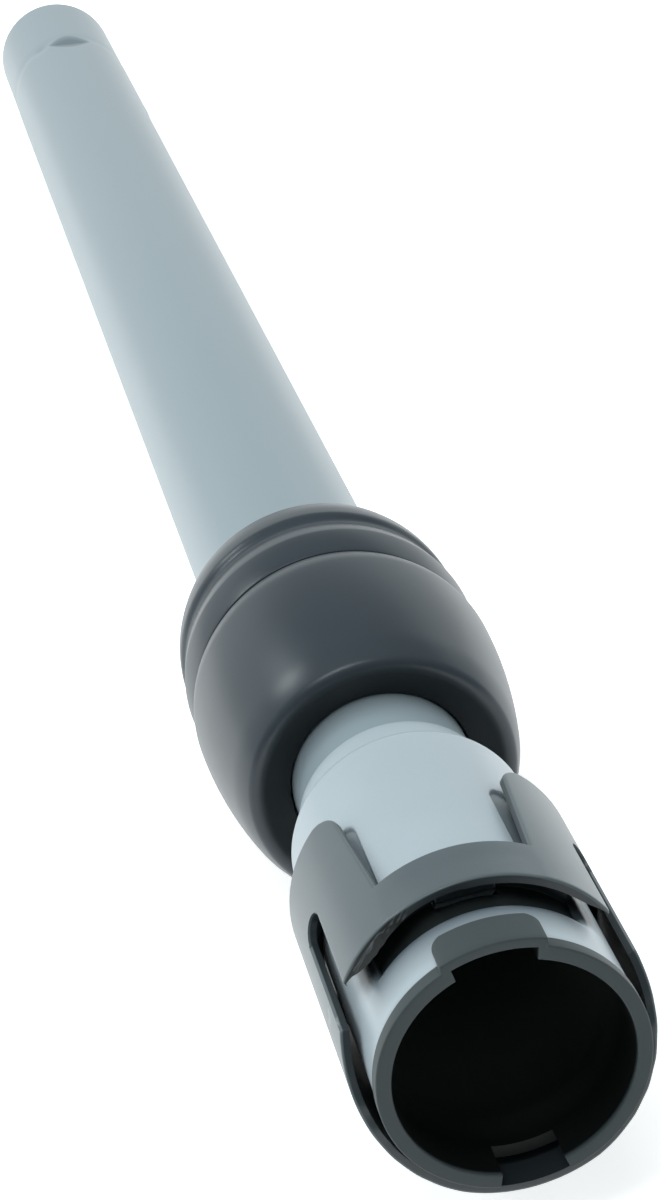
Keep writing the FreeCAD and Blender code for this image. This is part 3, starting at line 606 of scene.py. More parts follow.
def outer_tube():
    """The radius less each pressed feature, a dent and a rolled end.

    The dent is depth exp(-(angle / width)^2 - (y / length)^2), and the end
    rolls in as 1 - sqrt(1 - t^2) while t goes smoothly from 0 to 1.
    """
    pawl_clock = math.degrees(math.asin(PAWL_SLOT_HALF / OUTER_R))
    near_guide_start = np.arange(GUIDE_RUN[0] - 1, GUIDE_RUN[0] + 7, 0.5)
    near_guide_end = np.arange(GUIDE_RUN[1] - 9, GUIDE_RUN[1] + 1.5, 0.5)
    near_latch = np.arange(LATCH_FLOOR_Y - 12, LATCH_FLOOR_Y + 11, 0.4)
    near_end = WAND_END - np.array([END_RUN, 0.8, 0.4, 0.15])
    y = stops([TUBE_FRONT, *PAWL_SLOT_RUN, 148, 160, 470, 495, 524, 550, WAND_END], 6.0)
    y = np.unique(np.round(np.concatenate([y, near_guide_start, near_guide_end, near_latch, near_end]), 3))
    clock = stops([-180, -90, 0, 55, 95, 180 - pawl_clock, 180], 3.0)
    across_guide = np.arange(GUIDE_CLOCK - 17, GUIDE_CLOCK + 17, 0.75)
    across_latch = np.arange(-36, 32, 1.0)
    clock = np.concatenate([clock, across_guide, across_latch, [pawl_clock - 180]])
    clock = np.unique(np.round(clock, 4))[:-1]
    yy, cc = np.meshgrid(y, clock, indexing="ij")
    r = OUTER_R - SPIGOT_STEP * smooth_step(yy, *SPIGOT_RUN) - ring_groove(yy)
    bell = ((cc - DENT_CLOCK) / DENT_WIDTH) ** 2 + ((yy - DENT_Y) / DENT_LENGTH) ** 2
    r = latch_notch(yy, cc, guide_groove(yy, cc, r - DENT_DEPTH * np.exp(-bell)))
    t = smooth_step(yy, WAND_END - END_RUN, WAND_END)
    roll = END_ROLL * (1 - np.sqrt(1 - t ** 2 * 0.999))
    outer = around(yy, r - roll, cc)
    inner = around(yy, r - OUTER_WALL + roll * 0.6, cc)
    mid_y, mid_c = cell_middles(y, clock, last=180)
    slot = (mid_y > PAWL_SLOT_RUN[0]) & (mid_y < PAWL_SLOT_RUN[1]) & (mid_c > 180 - pawl_clock)
    return shell("outer_tube_skin", outer, inner, ~slot)


settle(outer_tube(), "outer_tube", "tube_paint", PAINT, "outer_tube")

# %% [markdown]
# ## The inner tube
# The inner tube is the same kind of sheet, plain except for the lock notches
# pressed into its underside. Two rows close together at each notch's edge give
# it steep walls without a cut.

# %% Inner tube
INNER_R, INNER_WALL, INNER_RUN = 15.3, 0.8, (66.05, 512.0)
NOTCH_FIRST, NOTCH_LAST, NOTCH_PITCH, NOTCH_DEPTH = 161.0, 476.0, 45.0, 1.3
NOTCH_REACH, NOTCH_SIDE = 3.0, 2.8
NOTCH_WALL, NOTCH_WALL_CLOCK = 0.1, 0.4


def inner_tube():
    """A plain radius, less the notch depth where y and the clock angle lie in a notch."""
    side = math.degrees(math.asin(NOTCH_SIDE / INNER_R))
    notches = np.arange(NOTCH_FIRST, NOTCH_LAST + 1, NOTCH_PITCH)
    wall = NOTCH_REACH + NOTCH_WALL
    edges = (notches[:, None] + np.array([-wall, -NOTCH_REACH, NOTCH_REACH, wall])).ravel()
    y = stops([*INNER_RUN, *edges], 8.0)
    foot = 180 - side
    top = foot - NOTCH_WALL_CLOCK
    clock = stops([-180, -foot, -top, top, foot, 180], 3.0)[:-1]
    yy, cc = np.meshgrid(y, clock, indexing="ij")
    off = np.abs(yy[..., None] - notches).min(axis=-1)
    pressed_in = (off < NOTCH_REACH + NOTCH_WALL / 2) & (np.abs(cc) > foot - NOTCH_WALL_CLOCK / 2)
    r = INNER_R - NOTCH_DEPTH * pressed_in
    whole = np.ones((len(y) - 1, len(clock)), dtype=bool)
    return shell("inner_tube_skin", around(yy, r, cc), around(yy, r - INNER_WALL, cc), whole)


settle(inner_tube(), "inner_tube", "tube_paint", PAINT, "inner_tube")

# %% [markdown]
# ## The lock sleeve
# The bulb is one turned moulding: a dished hub, a rounded lip and a long
# crowned outside that rolls over a shoulder. The ribbed ring plugs into it.
# Both are round all the way, so an outline carried round the axis fits them.

# %% Bulb and ribbed ring
SHELL_CORNERS = [
    (87.7, 15.65), (85.9, 20.2, 16.7), (86.79, 23.0, -2), (92, 24.7, -22.8), (116.3, 27.3, -137),
    (122.9, 25.8, -13), (122.9, 24.75), (111, 24.75), (111, 24.1), (100, 24.1), (88.4, 21.2),
    (88.4, 15.65)]
RING_CORNERS = [
    (120.65, 22.9), (146, 22.9), (146, 18.1), (148, 18.1), (148, 24.2), (146.6, 25.1, 1.6),
    (140.4, 26.3, 22), (138.2, 25.8, 3), (135.6, 25.85, -4), (130.4, 26.95, 26), (123.3, 25.9, 40),
    (123.3, 24.7), (120.65, 24.7)]

bulb = spun("sleeve_shell_skin", moulded(SHELL_CORNERS, blur=0.14))
settle(bulb, "slide_sleeve", "dark_plastic", DARK_PLASTIC, "sleeve_shell")
ring = spun("ribbed_ring_skin", moulded(RING_CORNERS, blur=0.2))
settle(ring, "slide_sleeve", "dark_plastic", DARK_PLASTIC, "ribbed_ring")

# %% [markdown]
# ## The connector
# The light body sits on the end of the inner tube. It has a shouldered back, a
# track beside each of the collar's wings, a wide slot under the band that shows
# the liner, a slot for the liner's hood, a notch and a window for the tooth. It
# could be turned and then cut, but as one grid its edges can be rolled softly.

# %% Connector sizes
CONNECTOR_R, CONNECTOR_BORE, CONNECTOR_FRONT, FRONT_ROLL = 19.7, 18.65, 2.45, 0.6
SLOT_FRONT, SLOT_BACK, SLOT_HALF = 12.5, 18.6, 50.0
SLOT_ROLL, SLOT_ROLL_SHARE, SLOT_SIDE = 2.4, 0.4, 0.6
TRACK_CLOCK, TRACK_END, TRACK_DEPTH = 39.8, 45.9, 0.5
TRACK_FRONT, TRACK_WALL = (21.5, 23.0), (2.1, 2.6)
HOOD_WINDOW_NOTCH_HALVES = 7.6, 4.8, 6.06
HOOD_STRAIGHT, HOOD_CORNER, NOTCH_BACK, WINDOW_BACK = 4.7, 2.6, 8.5, 23.05
SHOULDER_Y, SHOULDER_R, TAIL_R, TAIL_BORE, TAIL_END, TIP_R = 65.0, 3.0, 16.7, 15.35, 74.9, 0.6


def connector_sections():
    """Rows of y and r: the outer face with its shoulder and tip, then the inner face.

    Quarter circles round the shoulder and the tip, and the socket's floor steps in.
    """
    front_rows = [CONNECTOR_FRONT, 2.5, 2.6, 2.8, 3.05]
    hood_rows = HOOD_STRAIGHT + HOOD_CORNER * np.sin(np.linspace(0, np.pi / 2, 12))
    slot_rows = SLOT_FRONT - np.array([0, 0.1, 0.25, 0.5, 0.8, 1.2, 1.6, 2.0, SLOT_ROLL])
    track_rows = np.arange(44.5, 50, 0.35)
    rows = stops([*front_rows, NOTCH_BACK, *hood_rows, *slot_rows, SLOT_BACK, TRACK_FRONT[0], WINDOW_BACK,
                  *track_rows, 64, 64.5, SHOULDER_Y], 1.5)
    bend, tip = np.linspace(0, np.pi / 2, 9)[1:], np.linspace(0, np.pi / 2, 5)[1:]
    tail = [69, 70.5, 72, 73.5, TAIL_END]
    y_out = np.concatenate([rows, SHOULDER_Y + SHOULDER_R * np.sin(bend), tail,
                            TAIL_END + TIP_R * np.sin(tip)])
    r_out = np.concatenate([0 * rows + CONNECTOR_R, TAIL_R + SHOULDER_R * np.cos(bend), [TAIL_R] * 5,
                            TAIL_R - TIP_R + TIP_R * np.cos(tip)])
    floor_y = [65.3, 65.6, 65.95, 66, 66, 66, 66, 66.05]
    floor_r = [CONNECTOR_BORE, CONNECTOR_BORE, CONNECTOR_BORE, 18.6, 17.5, 16.5, 15.4, TAIL_BORE]
    y_in = np.concatenate([rows, floor_y, tail, TAIL_END + 0.15 * np.arange(1, 5)])
    r_in = np.concatenate([0 * rows + CONNECTOR_BORE, floor_r, [TAIL_BORE] * 9])
    return y_out, r_out, y_in, r_in


# %% Connector body
def connector_body():
    """The turned sections, less tracks and rolled edges, with its openings left out.

    A track is as deep as the distance from its middle line says, so it ends in
    a half circle. Columns beside the hood's slot are drawn in.
    """
    hood, window, notch = np.degrees(np.arcsin(np.array(HOOD_WINDOW_NOTCH_HALVES) / CONNECTOR_R))
    slot_edge = SLOT_HALF + np.array([0, 0.6, 1.4, 2.4, 3.2])
    track_edge = TRACK_CLOCK + np.arange(-7.7, 7.8, 0.7)
    clock = both_sides(stops([0, window, hood, *track_edge, *slot_edge, 180 - notch, 180], 2.0))
    y_out, r_out, y_in, r_in = connector_sections()
    yo, cc = np.meshgrid(y_out, clock, indexing="ij")
    off_track = np.hypot((yo - TRACK_END).clip(0), (np.abs(cc) - TRACK_CLOCK) * np.radians(CONNECTOR_R))
    track = TRACK_DEPTH * (1 - smooth_step(off_track, *TRACK_WALL)) * smooth_step(yo, *TRACK_FRONT)
    off_slot = np.hypot((SLOT_FRONT - yo).clip(0), ((np.abs(cc) - SLOT_HALF) * SLOT_SIDE).clip(0))
    edge = np.where(yo < SLOT_BACK + 0.1, rolled(off_slot, SLOT_ROLL) * SLOT_ROLL_SHARE, 0)
    edge = edge + rolled(yo - CONNECTOR_FRONT, FRONT_ROLL)
    hood_back = HOOD_STRAIGHT + HOOD_CORNER
    drawn = np.degrees(drawn_in(yo, HOOD_STRAIGHT, HOOD_CORNER) / CONNECTOR_R)
    drawn = drawn * (1 - smooth_step(yo, hood_back + 0.05, hood_back + 2.0))
    pull = np.interp(np.abs(cc), [0, window, hood, SLOT_HALF], [0, 0.5, 1, 0])
    turned = cc - np.sign(cc) * drawn * pull
    outer = around(yo, r_out[:, None] - track - edge, turned)
    inner = around(y_in[:, None], r_in[:, None], turned)
    mid_y, mid_c = cell_middles(y_out, clock, last=180)
    gone = ((mid_y < hood_back) & (mid_c < hood)) | ((mid_y < NOTCH_BACK) & (mid_c > 180 - notch))
    gone |= (mid_y > SLOT_BACK) & (mid_y < WINDOW_BACK) & (mid_c < window)
    gone |= (mid_y > SLOT_FRONT) & (mid_y < SLOT_BACK) & (mid_c < SLOT_HALF)
    return shell("connector_skin", outer, inner, ~gone)


settle(connector_body(), "inner_tube", "light_plastic", LIGHT_PLASTIC, "connector_body")

# %% [markdown]
# ## The bore liner
# The dark lining has a rim round the mouth, a hood over the keyway at the top
# and a framed open notch at the bottom. Columns beside the hood are drawn in to
# round its corners, and rows along a quarter circle roll the rim. Steps between
# radii are pairs of rows close together, which stay sharp without a bevel.

# %% Bore liner
LINER_R, LINER_BORE, RIM_R, FRAME_R, HOOD_R, KEYWAY_R = 18.6, 17.7, 20.0, 19.7, 21.2, 19.6
RIM_DEPTH, KEYWAY_DEPTH, HOOD_DEPTH, FRAME_DEPTH, LINER_END = 2.4, 6.0, 7.0, 8.2, 62.2
KEYWAY_CLOCK, HOOD_CLOCK, NOTCH_CLOCK, FRAME_CLOCK, WINDOW_CLOCK = 18.5, 22.0, 15.2, 17.0, 14.9
WINDOW_RUN, RELIEF, RELIEF_RISE, RELIEF_FALL = (16.45, 23.05), 0.3, (14.0, 16.4), (24.0, 32.0)
MOUTH_ROLL, HOOD_ROLL, HOOD_MM_PER_DEGREE, ROW_STEP = 0.3, 0.4, 0.37, 0.03


def bore_liner():
    """Outside, the radius of hood, rim, frame or plain liner by place; inside, keyway or eased bore."""
    beside_key, inside_hood, beside_hood = KEYWAY_CLOCK + 0.8, HOOD_CLOCK - 1.2, HOOD_CLOCK + 0.6
    frame_side = 180 - FRAME_CLOCK
    clock = both_sides(stops([
        0, WINDOW_CLOCK, KEYWAY_CLOCK, beside_key, inside_hood, HOOD_CLOCK - 0.5, HOOD_CLOCK, beside_hood, 30,
        frame_side - 0.6, frame_side, 180 - NOTCH_CLOCK, 180], 2.5))
    roll_rows = MOUTH_ROLL * (1 - np.cos(np.linspace(0, np.pi / 2, 6)))
    hood_straight = HOOD_DEPTH - HOOD_CORNER
    hood_rows = hood_straight + HOOD_CORNER * np.sin(np.linspace(0, np.pi / 2, 14))
    steps = [depth + step for depth in (RIM_DEPTH, HOOD_DEPTH, FRAME_DEPTH) for step in (0, ROW_STEP)]
    rows = stops([MOUTH_ROLL, *steps, hood_straight, KEYWAY_DEPTH, KEYWAY_DEPTH + 0.2, RELIEF_RISE[0],
                  *WINDOW_RUN, *RELIEF_FALL, LINER_END], 1.6)
    rows = np.unique(np.round(np.concatenate([rows, roll_rows, hood_rows]), 3))
    yy, cc = np.meshgrid(rows, clock, indexing="ij")
    drawn = np.degrees(drawn_in(yy, hood_straight, HOOD_CORNER) / HOOD_R)
    drawn = drawn * (1 - smooth_step(yy, HOOD_DEPTH + 0.1, RELIEF_RISE[0]))
    pull = np.interp(np.abs(cc), [0, beside_key, inside_hood, beside_hood, 60], [0, 0.6, 1, 1, 0])
    turned = cc - np.sign(cc) * drawn * pull
    framed = (np.abs(cc) > frame_side - 0.1) & (yy < FRAME_DEPTH + ROW_STEP / 2)
    rim = np.where(yy < RIM_DEPTH + ROW_STEP / 2, RIM_R, np.where(framed, FRAME_R, LINER_R))
    hood = (np.abs(cc) < HOOD_CLOCK + 0.1) & (yy < HOOD_DEPTH + ROW_STEP / 2)
    inset = np.minimum((HOOD_CLOCK - np.abs(cc)) * HOOD_MM_PER_DEGREE, HOOD_DEPTH - yy)
    r_out = np.where(hood, HOOD_R - rolled(inset.clip(0), HOOD_ROLL), rim) - rolled(yy, MOUTH_ROLL)
    keyed = (np.abs(cc) < KEYWAY_CLOCK + 0.1) & (yy < KEYWAY_DEPTH + 0.1)
    relief = RELIEF * (smooth_step(yy, *RELIEF_RISE) - smooth_step(yy, *RELIEF_FALL))
    r_in = np.where(keyed, KEYWAY_R, LINER_BORE + relief) + rolled(yy, MOUTH_ROLL)
    mid_y, mid_c = cell_middles(rows, clock, last=180)
    gone = (mid_y < HOOD_DEPTH) & (mid_c > 180 - NOTCH_CLOCK)
    gone |= (mid_y > WINDOW_RUN[0]) & (mid_y < WINDOW_RUN[1]) & (mid_c < WINDOW_CLOCK)
    return shell("bore_liner_skin", around(yy, r_out, turned), around(yy, r_in, cc), ~gone)


settle(bore_liner(), "inner_tube", "liner_plastic", LINER_PLASTIC, "bore_liner")

# %% [markdown]
# ## The release collar
# One springy moulding: a band over the top, two wings that run back, and a
# cover round the underside, parted from the band by a slit on each side. A
# straight grid would give slanted edges a staircase, so its lines are bent to
# run along them: four zones round each half and four along, some left open.

# %% Collar edges
COLLAR_OUT, COLLAR_IN = 22.75, 21.4
COLLAR_MID = (COLLAR_OUT + COLLAR_IN) / 2
BAND_FRONT, BAND_BACK, BAND_CLOCK = 15.0, 24.5, 30.8
SLIT_END, SLIT_DEEP, SLIT_TOP_Z, SLIT_FOOT_Z = 34.6, 37.0, 10.7, 5.9
SLIT_TOP, SLIT_FOOT = [math.degrees(math.acos(z / COLLAR_MID)) for z in (SLIT_TOP_Z, SLIT_FOOT_Z)]
WING_CORNER, COLLAR_BACK, WING_X, WING_TIP_X = 46.0, 51.0, (11.3, 12.9), 17.2
LEG_FRONT, COVER_DROP, COVER_HOLLOW, COVER_FOOT_Z = 11.5, 9.0, 1.2, -19.7
COVER_WAVE, COVER_WAVE_RATE = 0.1, 0.55


def wing_clock(y):
    """Clock angle of the wing's inner edge: a straight side, then a rounded corner."""
    x = np.interp(y, [BAND_BACK, WING_CORNER], WING_X)
    past_corner = ((y - WING_CORNER) / (COLLAR_BACK - WING_CORNER)).clip(0, 1)
    corner = np.sqrt((1 - past_corner ** 2).clip(0))
    x = np.where(y > WING_CORNER, WING_TIP_X - (WING_TIP_X - WING_X[1]) * corner, x)
    return np.degrees(np.arcsin(x / COLLAR_MID))


def cover_front(clock):
    """The cover's front edge in side view: from slit foot to bottom, hollowed by half a sine wave."""
    z = COLLAR_MID * np.cos(np.radians(clock))
    t = ((SLIT_FOOT_Z - z) / (SLIT_FOOT_Z - COVER_FOOT_Z)).clip(0, 1)
    wave = COVER_WAVE * np.sin(clock * COVER_WAVE_RATE) * np.sin(np.pi * t)
    return LEG_FRONT - COVER_DROP * t - COVER_HOLLOW * np.sin(np.pi * t) + wave


def run(count, low=0.0):
    """0 to 1 with extra values close to both ends, where edges are rolled."""
    middle = np.linspace(0.08, 0.92, count)
    return low + np.concatenate([[0, 0.008, 0.02, 0.04], middle, [0.96, 0.98, 0.992]])


# %% Collar walls
EDGE_ROLL, FAR_FROM_EDGE, BAND_DROP = 0.4, 9, 0.13
POINT_THINNING, POINT_REACH, STROKE, LIP_R = 0.9, 3.2, 1.4, 19.85
DROP_SIDE, DROP_BACK = (26.0, 33.0), (20.0, BAND_BACK)
LIP_TOP, LIP_FOOT, LIP_FRONT = (50, 58), (121, 128), (37.2, 38.4)
TORN_LEAN, TORN_CLOCK, TORN_WIDTH, TORN_RAGS, CLEAN_LEAN = 1.8, 43, 13, 0.22, 0.25
RAG_RATES, RAG_START, LEAN_END = (1.9, 0.7), 32, (1.7, 2.0)


def collar_walls(y, front, clock, half, side, line):
    """Outer and inner radius of the collar, and how far its front wall leans forward.

    Outside, rolled edges come off the radius. Inside, the wall thins to a point
    at the slit's front corners, as exp(-(distance / reach)^2), and a lip closes
    the gap to the connector, less the collar's stroke. The torn left front
    leans by a bell plus a product of two sines.
    """
    wing, reach = wing_clock(y), np.radians(COLLAR_OUT)
    edges = rolled(y - front, EDGE_ROLL) + rolled(COLLAR_BACK - y, EDGE_ROLL)
    on_wing, over, under = (half >= 1) & (half <= 2), (half > 1) & (half <= 2), half >= 3
    beside_wing = np.where(on_wing & (line >= 1), (clock - wing) * reach, FAR_FROM_EDGE)
    over_slit = np.where(over & (line <= 2), (SLIT_TOP - clock) * reach, FAR_FROM_EDGE)
    under_slit = np.where(under & (line <= 2), (clock - SLIT_FOOT) * reach, FAR_FROM_EDGE)
    for gap in (beside_wing, over_slit, under_slit):
        edges = edges + rolled(gap.clip(0), EDGE_ROLL)
    low_band = BAND_DROP * (1 - smooth_step(clock, *DROP_SIDE)) * (1 - smooth_step(y, *DROP_BACK))
    from_tip = np.hypot(y - BAND_FRONT, (SLIT_TOP - clock) * reach)
    point = np.where(half <= 2, POINT_THINNING * np.exp(-(from_tip / POINT_REACH) ** 2), 0)
    stroke = STROKE * (-np.cos(np.radians(clock))).clip(0)
    around_lip = smooth_step(clock, *LIP_TOP) * (1 - smooth_step(clock, *LIP_FOOT))
    lip = (COLLAR_IN - LIP_R - stroke) * around_lip * smooth_step(y, *LIP_FRONT)
    fine, coarse = [rate * clock for rate in RAG_RATES]
    rags = TORN_RAGS * np.sin(fine) * np.sin(coarse + 1) * (clock > RAG_START)
    torn = TORN_LEAN * np.exp(-((clock - TORN_CLOCK) / TORN_WIDTH) ** 2) + rags
    lean = np.where(side < 0, torn, CLEAN_LEAN) * np.where(half <= 2, 1 - smooth_step(half, *LEAN_END), 0)
    lean = lean * (1 - line.clip(0, 1))
    return COLLAR_OUT - low_band - edges, COLLAR_IN + point - lip, lean


# %% Release collar
def release_collar():
    """A bent grid: half counts the zones round each side, and line the zones along.

    Between two marks y runs evenly with line, and the clock runs evenly with
    half to the wing's edge, the slit's top, its foot and the bottom.
    """
    zone = np.concatenate([np.linspace(0, 1, 15)[:-1], run(12, 1), run(8, 2), run(46, 3), [4]])
    turn = both_sides(zone)
    half, side = np.abs(turn)[None, :], np.sign(turn)[None, :]
    corner_rows = np.sin(np.linspace(0, np.pi / 2, 14))
    line = np.concatenate([run(10), run(8, 1), run(7, 2), 3 + corner_rows])[:, None]
    plain = np.interp(half, [0, 1, 2, 3, 4], [0, BAND_CLOCK, SLIT_TOP, SLIT_FOOT, 180])
    front = np.where(half <= 3, np.interp(half, [2, 3], [BAND_FRONT, LEG_FRONT]), cover_front(plain))
    in_slit = ((half - 2) * (3 - half)).clip(0)
    slit_end = SLIT_END + (SLIT_DEEP - SLIT_END) * 2 * np.sqrt(in_slit)
    marks = [front, np.maximum(front + 1.0, BAND_BACK), slit_end, WING_CORNER, COLLAR_BACK]
    y = front + 0 * line
    for k, (low, high) in enumerate(zip(marks[:-1], marks[1:])):
        y = y + (high - low) * (line - k).clip(0, 1)
    wing = wing_clock(y)
    to_slit = np.where(half <= 2, wing + (SLIT_TOP - wing) * (half - 1), plain)
    clock = np.where(half <= 1, half * wing, to_slit)
    r_out, r_in, lean = collar_walls(y, front, clock, half, side, line)
    outer = around(y, r_out, clock * side)
    inner = around(y - lean, r_in, clock * side)
    mid_line, mid_zone = cell_middles(line[:, 0], turn, last=4)
    gone = (mid_line > 1) & (mid_zone < 1)
    gone |= (mid_line < 2) & (mid_zone > 2) & (mid_zone < 3)
    return shell("release_collar_skin", outer, inner, ~gone)


settle(release_collar(), "release_collar", "collar_plastic", COLLAR_PLASTIC, "release_collar")

# %% [markdown]
# ## The latch tooth
# The tooth hangs under the middle of the band and reaches through the windows
# into the bore. It is one outline in side view, so it is pressed straight
# across, and a live bevel softens its edges.

# %% Latch tooth
TOOTH_HALF, TOOTH_SOFT, TOOTH_SHARP = 4.5, 0.3, 40.0
TOOTH_CORNERS = np.array([
    (22.75, 22.0), (22.75, 19.0), (22.75, 16.5), (19.25, 16.5), (16.75, 19.0), (16.75, 22.0)])


def pressed(name, outline, low, high, across=0):
    """A closed outline carried straight along one axis, from low to high.

    Across 0 carries (y, z) along x, and across 1 carries (x, z) along y. Quads
    between the outline's first half and its second, counted back, close each end.
    """
    count = len(outline)
    points = np.empty((2, count, 3))
    points[..., across] = np.array([low, high])[:, None]
    points[..., [k for k in range(3) if k != across]] = outline
    here = np.arange(count)
    on = np.roll(here, -1)
    walls = np.stack([here, here + count, on + count, on], axis=-1)
    k = np.arange(count // 2 - 1)
    cap = np.stack([k, k + 1, count - 2 - k, count - 1 - k], axis=-1)
    faces = np.vstack([walls, cap, cap[:, ::-1] + count])
    return put(name, points, faces[:, ::-1] if across == 1 else faces)


tooth = pressed("latch_tooth", TOOTH_CORNERS, -TOOTH_HALF, TOOTH_HALF)
bevel = tooth.modifiers.new("soft_edges", "BEVEL")
bevel.width, bevel.segments, bevel.harden_normals = TOOTH_SOFT * MM, 3, False
bevel.limit_method, bevel.angle_limit = "ANGLE", math.radians(TOOTH_SHARP)
settle(tooth, "release_collar", "collar_plastic", COLLAR_PLASTIC)

# %% [markdown]
# ## Springs
# Three leaf springs sit out of sight. A leaf is a path given a thickness and
# pressed straight across.

# %% Leaf springs
LEAF_HALF = 2
FOLD_FRONT, FOLD_LENGTH, FOLD_R, FOLD_RISE, FOLD_COUNT, FOLD_STRIP = 88.6, 20.2, 20.2, 0.4, 8, 0.25
ARCH_HALF, ARCH_FOOT, ARCH_RISE, ARCH_RUN, LEAF_STRIP = 8, -21.2, 2.8, (32.75, 42.75), 0.28
PAWL_LEAF = np.array([
    (127.8, -19.8), (125, -19.8), (123, -19.85), (121.5, -20.5), (120, -21.3), (119, -21.8),
    (117, -21.8), (115.2, -21.8)])


def strip(path, thick):
    """A path given a thickness: out along one side and back along the other."""
    ahead = np.gradient(path, axis=0)
    ahead /= np.hypot(*ahead.T)[:, None]
    off = np.stack([-ahead[:, 1], ahead[:, 0]], axis=-1) * thick / 2
    return np.vstack([path + off, (path - off)[::-1]])


def spring(name, outline, span, node, across=0):
    """A pressed leaf in spring steel, its placement baked into the mesh, standing for a node that it hides.
    """
    piece = pressed(name, outline, *span, across)
    piece.data.materials.append(STEEL)
    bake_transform(piece)
    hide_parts(node)


along = np.linspace(0, 1, 97)
zigzag = np.arcsin(np.sin(FOLD_COUNT * np.pi * along)) / (np.pi / 2)
folds = np.stack([FOLD_FRONT + FOLD_LENGTH * along, FOLD_R + FOLD_RISE * zigzag], axis=-1)
spring("sleeve_spring_leaf", strip(folds, FOLD_STRIP), (-LEAF_HALF, LEAF_HALF),
       "sleeve_spring")
spring("pawl_spring_leaf", strip(PAWL_LEAF, LEAF_STRIP), (-LEAF_HALF, LEAF_HALF),
       "pawl_spring")
across_arch = np.linspace(-ARCH_HALF, ARCH_HALF, 33)
arch = np.stack([across_arch, ARCH_FOOT + ARCH_RISE * (across_arch / ARCH_HALF) ** 2], axis=-1)
spring("collar_spring_leaf", strip(arch, LEAF_STRIP), ARCH_RUN,
       "collar_spring", across=1)

# %% [markdown]
# ## Parts that stay as the CAD made them
# Seals, bushes and the lock parts sit inside and have plain shapes, so their
# CAD meshes stay and only take a finish.

# %% Finishes for the kept nodes
KEPT = {
    "lock_carrier": INNER_PLASTIC, "cam_ring": INNER_PLASTIC, "lock_pawl": STEEL,
    "rear_slide_bush": INNER_PLASTIC, "rear_seal_ring": RUBBER, "socket_seal": RUBBER, "wiper_seal": FELT}
for node, finish in KEPT.items():
    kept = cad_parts[node]
    if not kept.material_slots:
        kept.data.materials.append(finish)
    for place in kept.material_slots:
        place.material = finish
print("kept nodes:", len(KEPT))

# %% [markdown]
# ## Floor
# The wand lies on its bulb and on the rim of its far end, so the floor leans by
# about a degree. More light would wash out the wand, so the white that the
# floor gives off is only seen, straight or in gloss, and lights nothing.

# %% Floor
BULB_FOOT, RIM_FOOT, FLOOR_GAP = (117.5, -27.3), (588.0, -17.5), 0.1
FLOOR_X, FLOOR_Y, FLOOR_GLOW = (-3000.0, 3000.0), (-2500.0, 4000.0), 0.62


def floor_sheet():
    """One sheet through the two feet: z rises by the slope between them, a little below the wand."""
    slope = (RIM_FOOT[1] - BULB_FOOT[1]) / (RIM_FOOT[0] - BULB_FOOT[0])
    x, y = np.meshgrid(FLOOR_X, FLOOR_Y, indexing="ij")
    z = BULB_FOOT[1] - FLOOR_GAP + slope * (y - BULB_FOOT[0])
    floor = put("floor", np.stack([x, y, z], axis=-1), np.array([[0, 2, 3, 1]]))
    made = Finish("floor_white", roughness=0.9, specular_ior_level=0.1,
                  base_color=(0.86, 0.86, 0.86, 1), emission_strength=FLOOR_GLOW)
    made.plug(made.shader.inputs["Emission Color"], made.blend(made.seen(), (0, 0, 0, 1), (1, 1, 1, 1)))
    floor.data.materials.append(made.material)


floor_sheet()

# %% [markdown]
# ## Light
# The light is soft and cool, with a white backdrop that puts a bright rim on dark
# plastic. The world gives that and a dim front. Softboxes give the broad light,
# and three of them are kept out of the gloss.

# %% World and lamps
COOL = (0.93, 1.0, 1.02)


def white_room(front, top, bright):
    """White to the camera; else a cool room, dim in front and bright low down behind the wand.

    The direction's y says how far behind it lies, and its z how high.
    """
    world = bpy.data.worlds.new("white_room")
    bpy.context.scene.world = world
    world.use_nodes = True
    room = Tree(world.node_tree, "Generated")
    _, back, up = room.axes()
    backdrop = room.ramp(back, -0.3, 0.5) * room.ramp(up, 0.50, 0.36)
    level = front + (top - front) * room.ramp(up, 0.1, 0.9) + (bright - front) * backdrop
    camera = room.node("ShaderNodeLightPath", {}, {}, "Is Camera Ray")
    lamp = world.node_tree.nodes["Background"]
    room.plug(lamp.inputs["Color"], room.blend(camera, (*COOL, 1), (1, 1, 1, 1)))
    room.plug(lamp.inputs["Strength"], camera + (1 - camera) * level)


def stand(thing, place, away, side):
    """Puts a lamp or camera at a place, its back along away and its right hand along side."""
    away = np.array(away, float) / np.linalg.norm(away)
    side = side - away * np.dot(side, away)
    side /= np.linalg.norm(side)
    turn = np.stack([side, np.cross(away, side), away], axis=1)
    thing.matrix_world = Matrix.Translation(place) @ Matrix(turn.tolist()).to_4x4()
    bpy.context.collection.objects.link(thing)
    print(thing.name, "stands at", place)


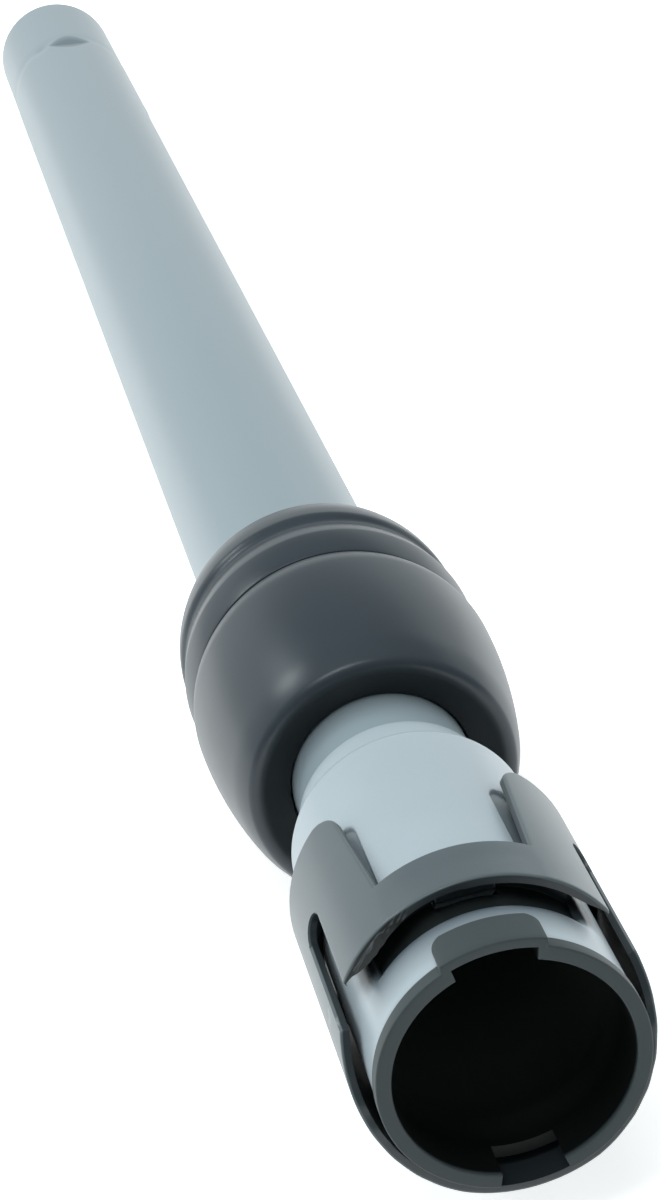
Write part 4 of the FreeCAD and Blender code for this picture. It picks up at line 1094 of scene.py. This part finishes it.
def softbox(name, place, target, size, watts, mirrored=True):
    """An area lamp that shines at a target; one that is not mirrored stays out of the gloss."""
    lamp = bpy.data.lights.new(name, "AREA")
    lamp.shape, lamp.size, lamp.size_y, lamp.energy, lamp.color = "RECTANGLE", *size, watts, COOL
    box = bpy.data.objects.new(name, lamp)
    box.visible_glossy = mirrored
    away = np.subtract(place, target)
    stand(box, place, away, np.cross((0, 1, 0), away))


white_room(front=0.14, top=0.4, bright=0.92)
softbox("left_box", (-0.75, 0.72, 0.88), (0, 0.1, 0), (0.3, 0.3), 2.6)
softbox("left_fill", (-1.15, 0.15, 0.80), (0, 0.2, 0), (0.8, 1.2), 5.2, mirrored=False)
softbox("right_box", (1.15, 0.20, 0.70), (0, 0.15, 0), (0.9, 1.0), 3.7, mirrored=False)
softbox("top_box", (0.05, 0.45, 1.25), (0, 0.2, 0), (0.8, 1.2), 3.4, mirrored=False)
softbox("crest_box", (-0.20, -0.30, 1.15), (0, 0.09, 0), (0.5, 0.35), 3.2)

# %% [markdown]
# ## Camera
# The camera looks down along the wand from close to its mouth. Its lens, place
# and two directions were fitted to the edges of the tube and the ellipses of
# the mouth and the bulb, so they are plain values here.

# %% Camera
LENS_MM, SENSOR_MM, NEAREST = 85.38, 36.0, 0.01
CAMERA_PLACE = (-0.0470, -0.3216, 0.2379)
CAMERA_AHEAD, CAMERA_RIGHT = np.array([0.0966, 0.8912, -0.4432]), np.array([0.9640, -0.1947, -0.1812])

lens = bpy.data.cameras.new("photo_camera")
lens.lens, lens.sensor_width, lens.clip_start = LENS_MM, SENSOR_MM, NEAREST
camera = bpy.data.objects.new("photo_camera", lens)
stand(camera, CAMERA_PLACE, -CAMERA_AHEAD, CAMERA_RIGHT)
bpy.context.scene.camera = camera
bpy.context.scene.view_settings.view_transform = "Standard"

# %% [markdown]
# ## The last line
# The last line brings the view layer up to date.

# %% The last line
bpy.context.view_layer.update()
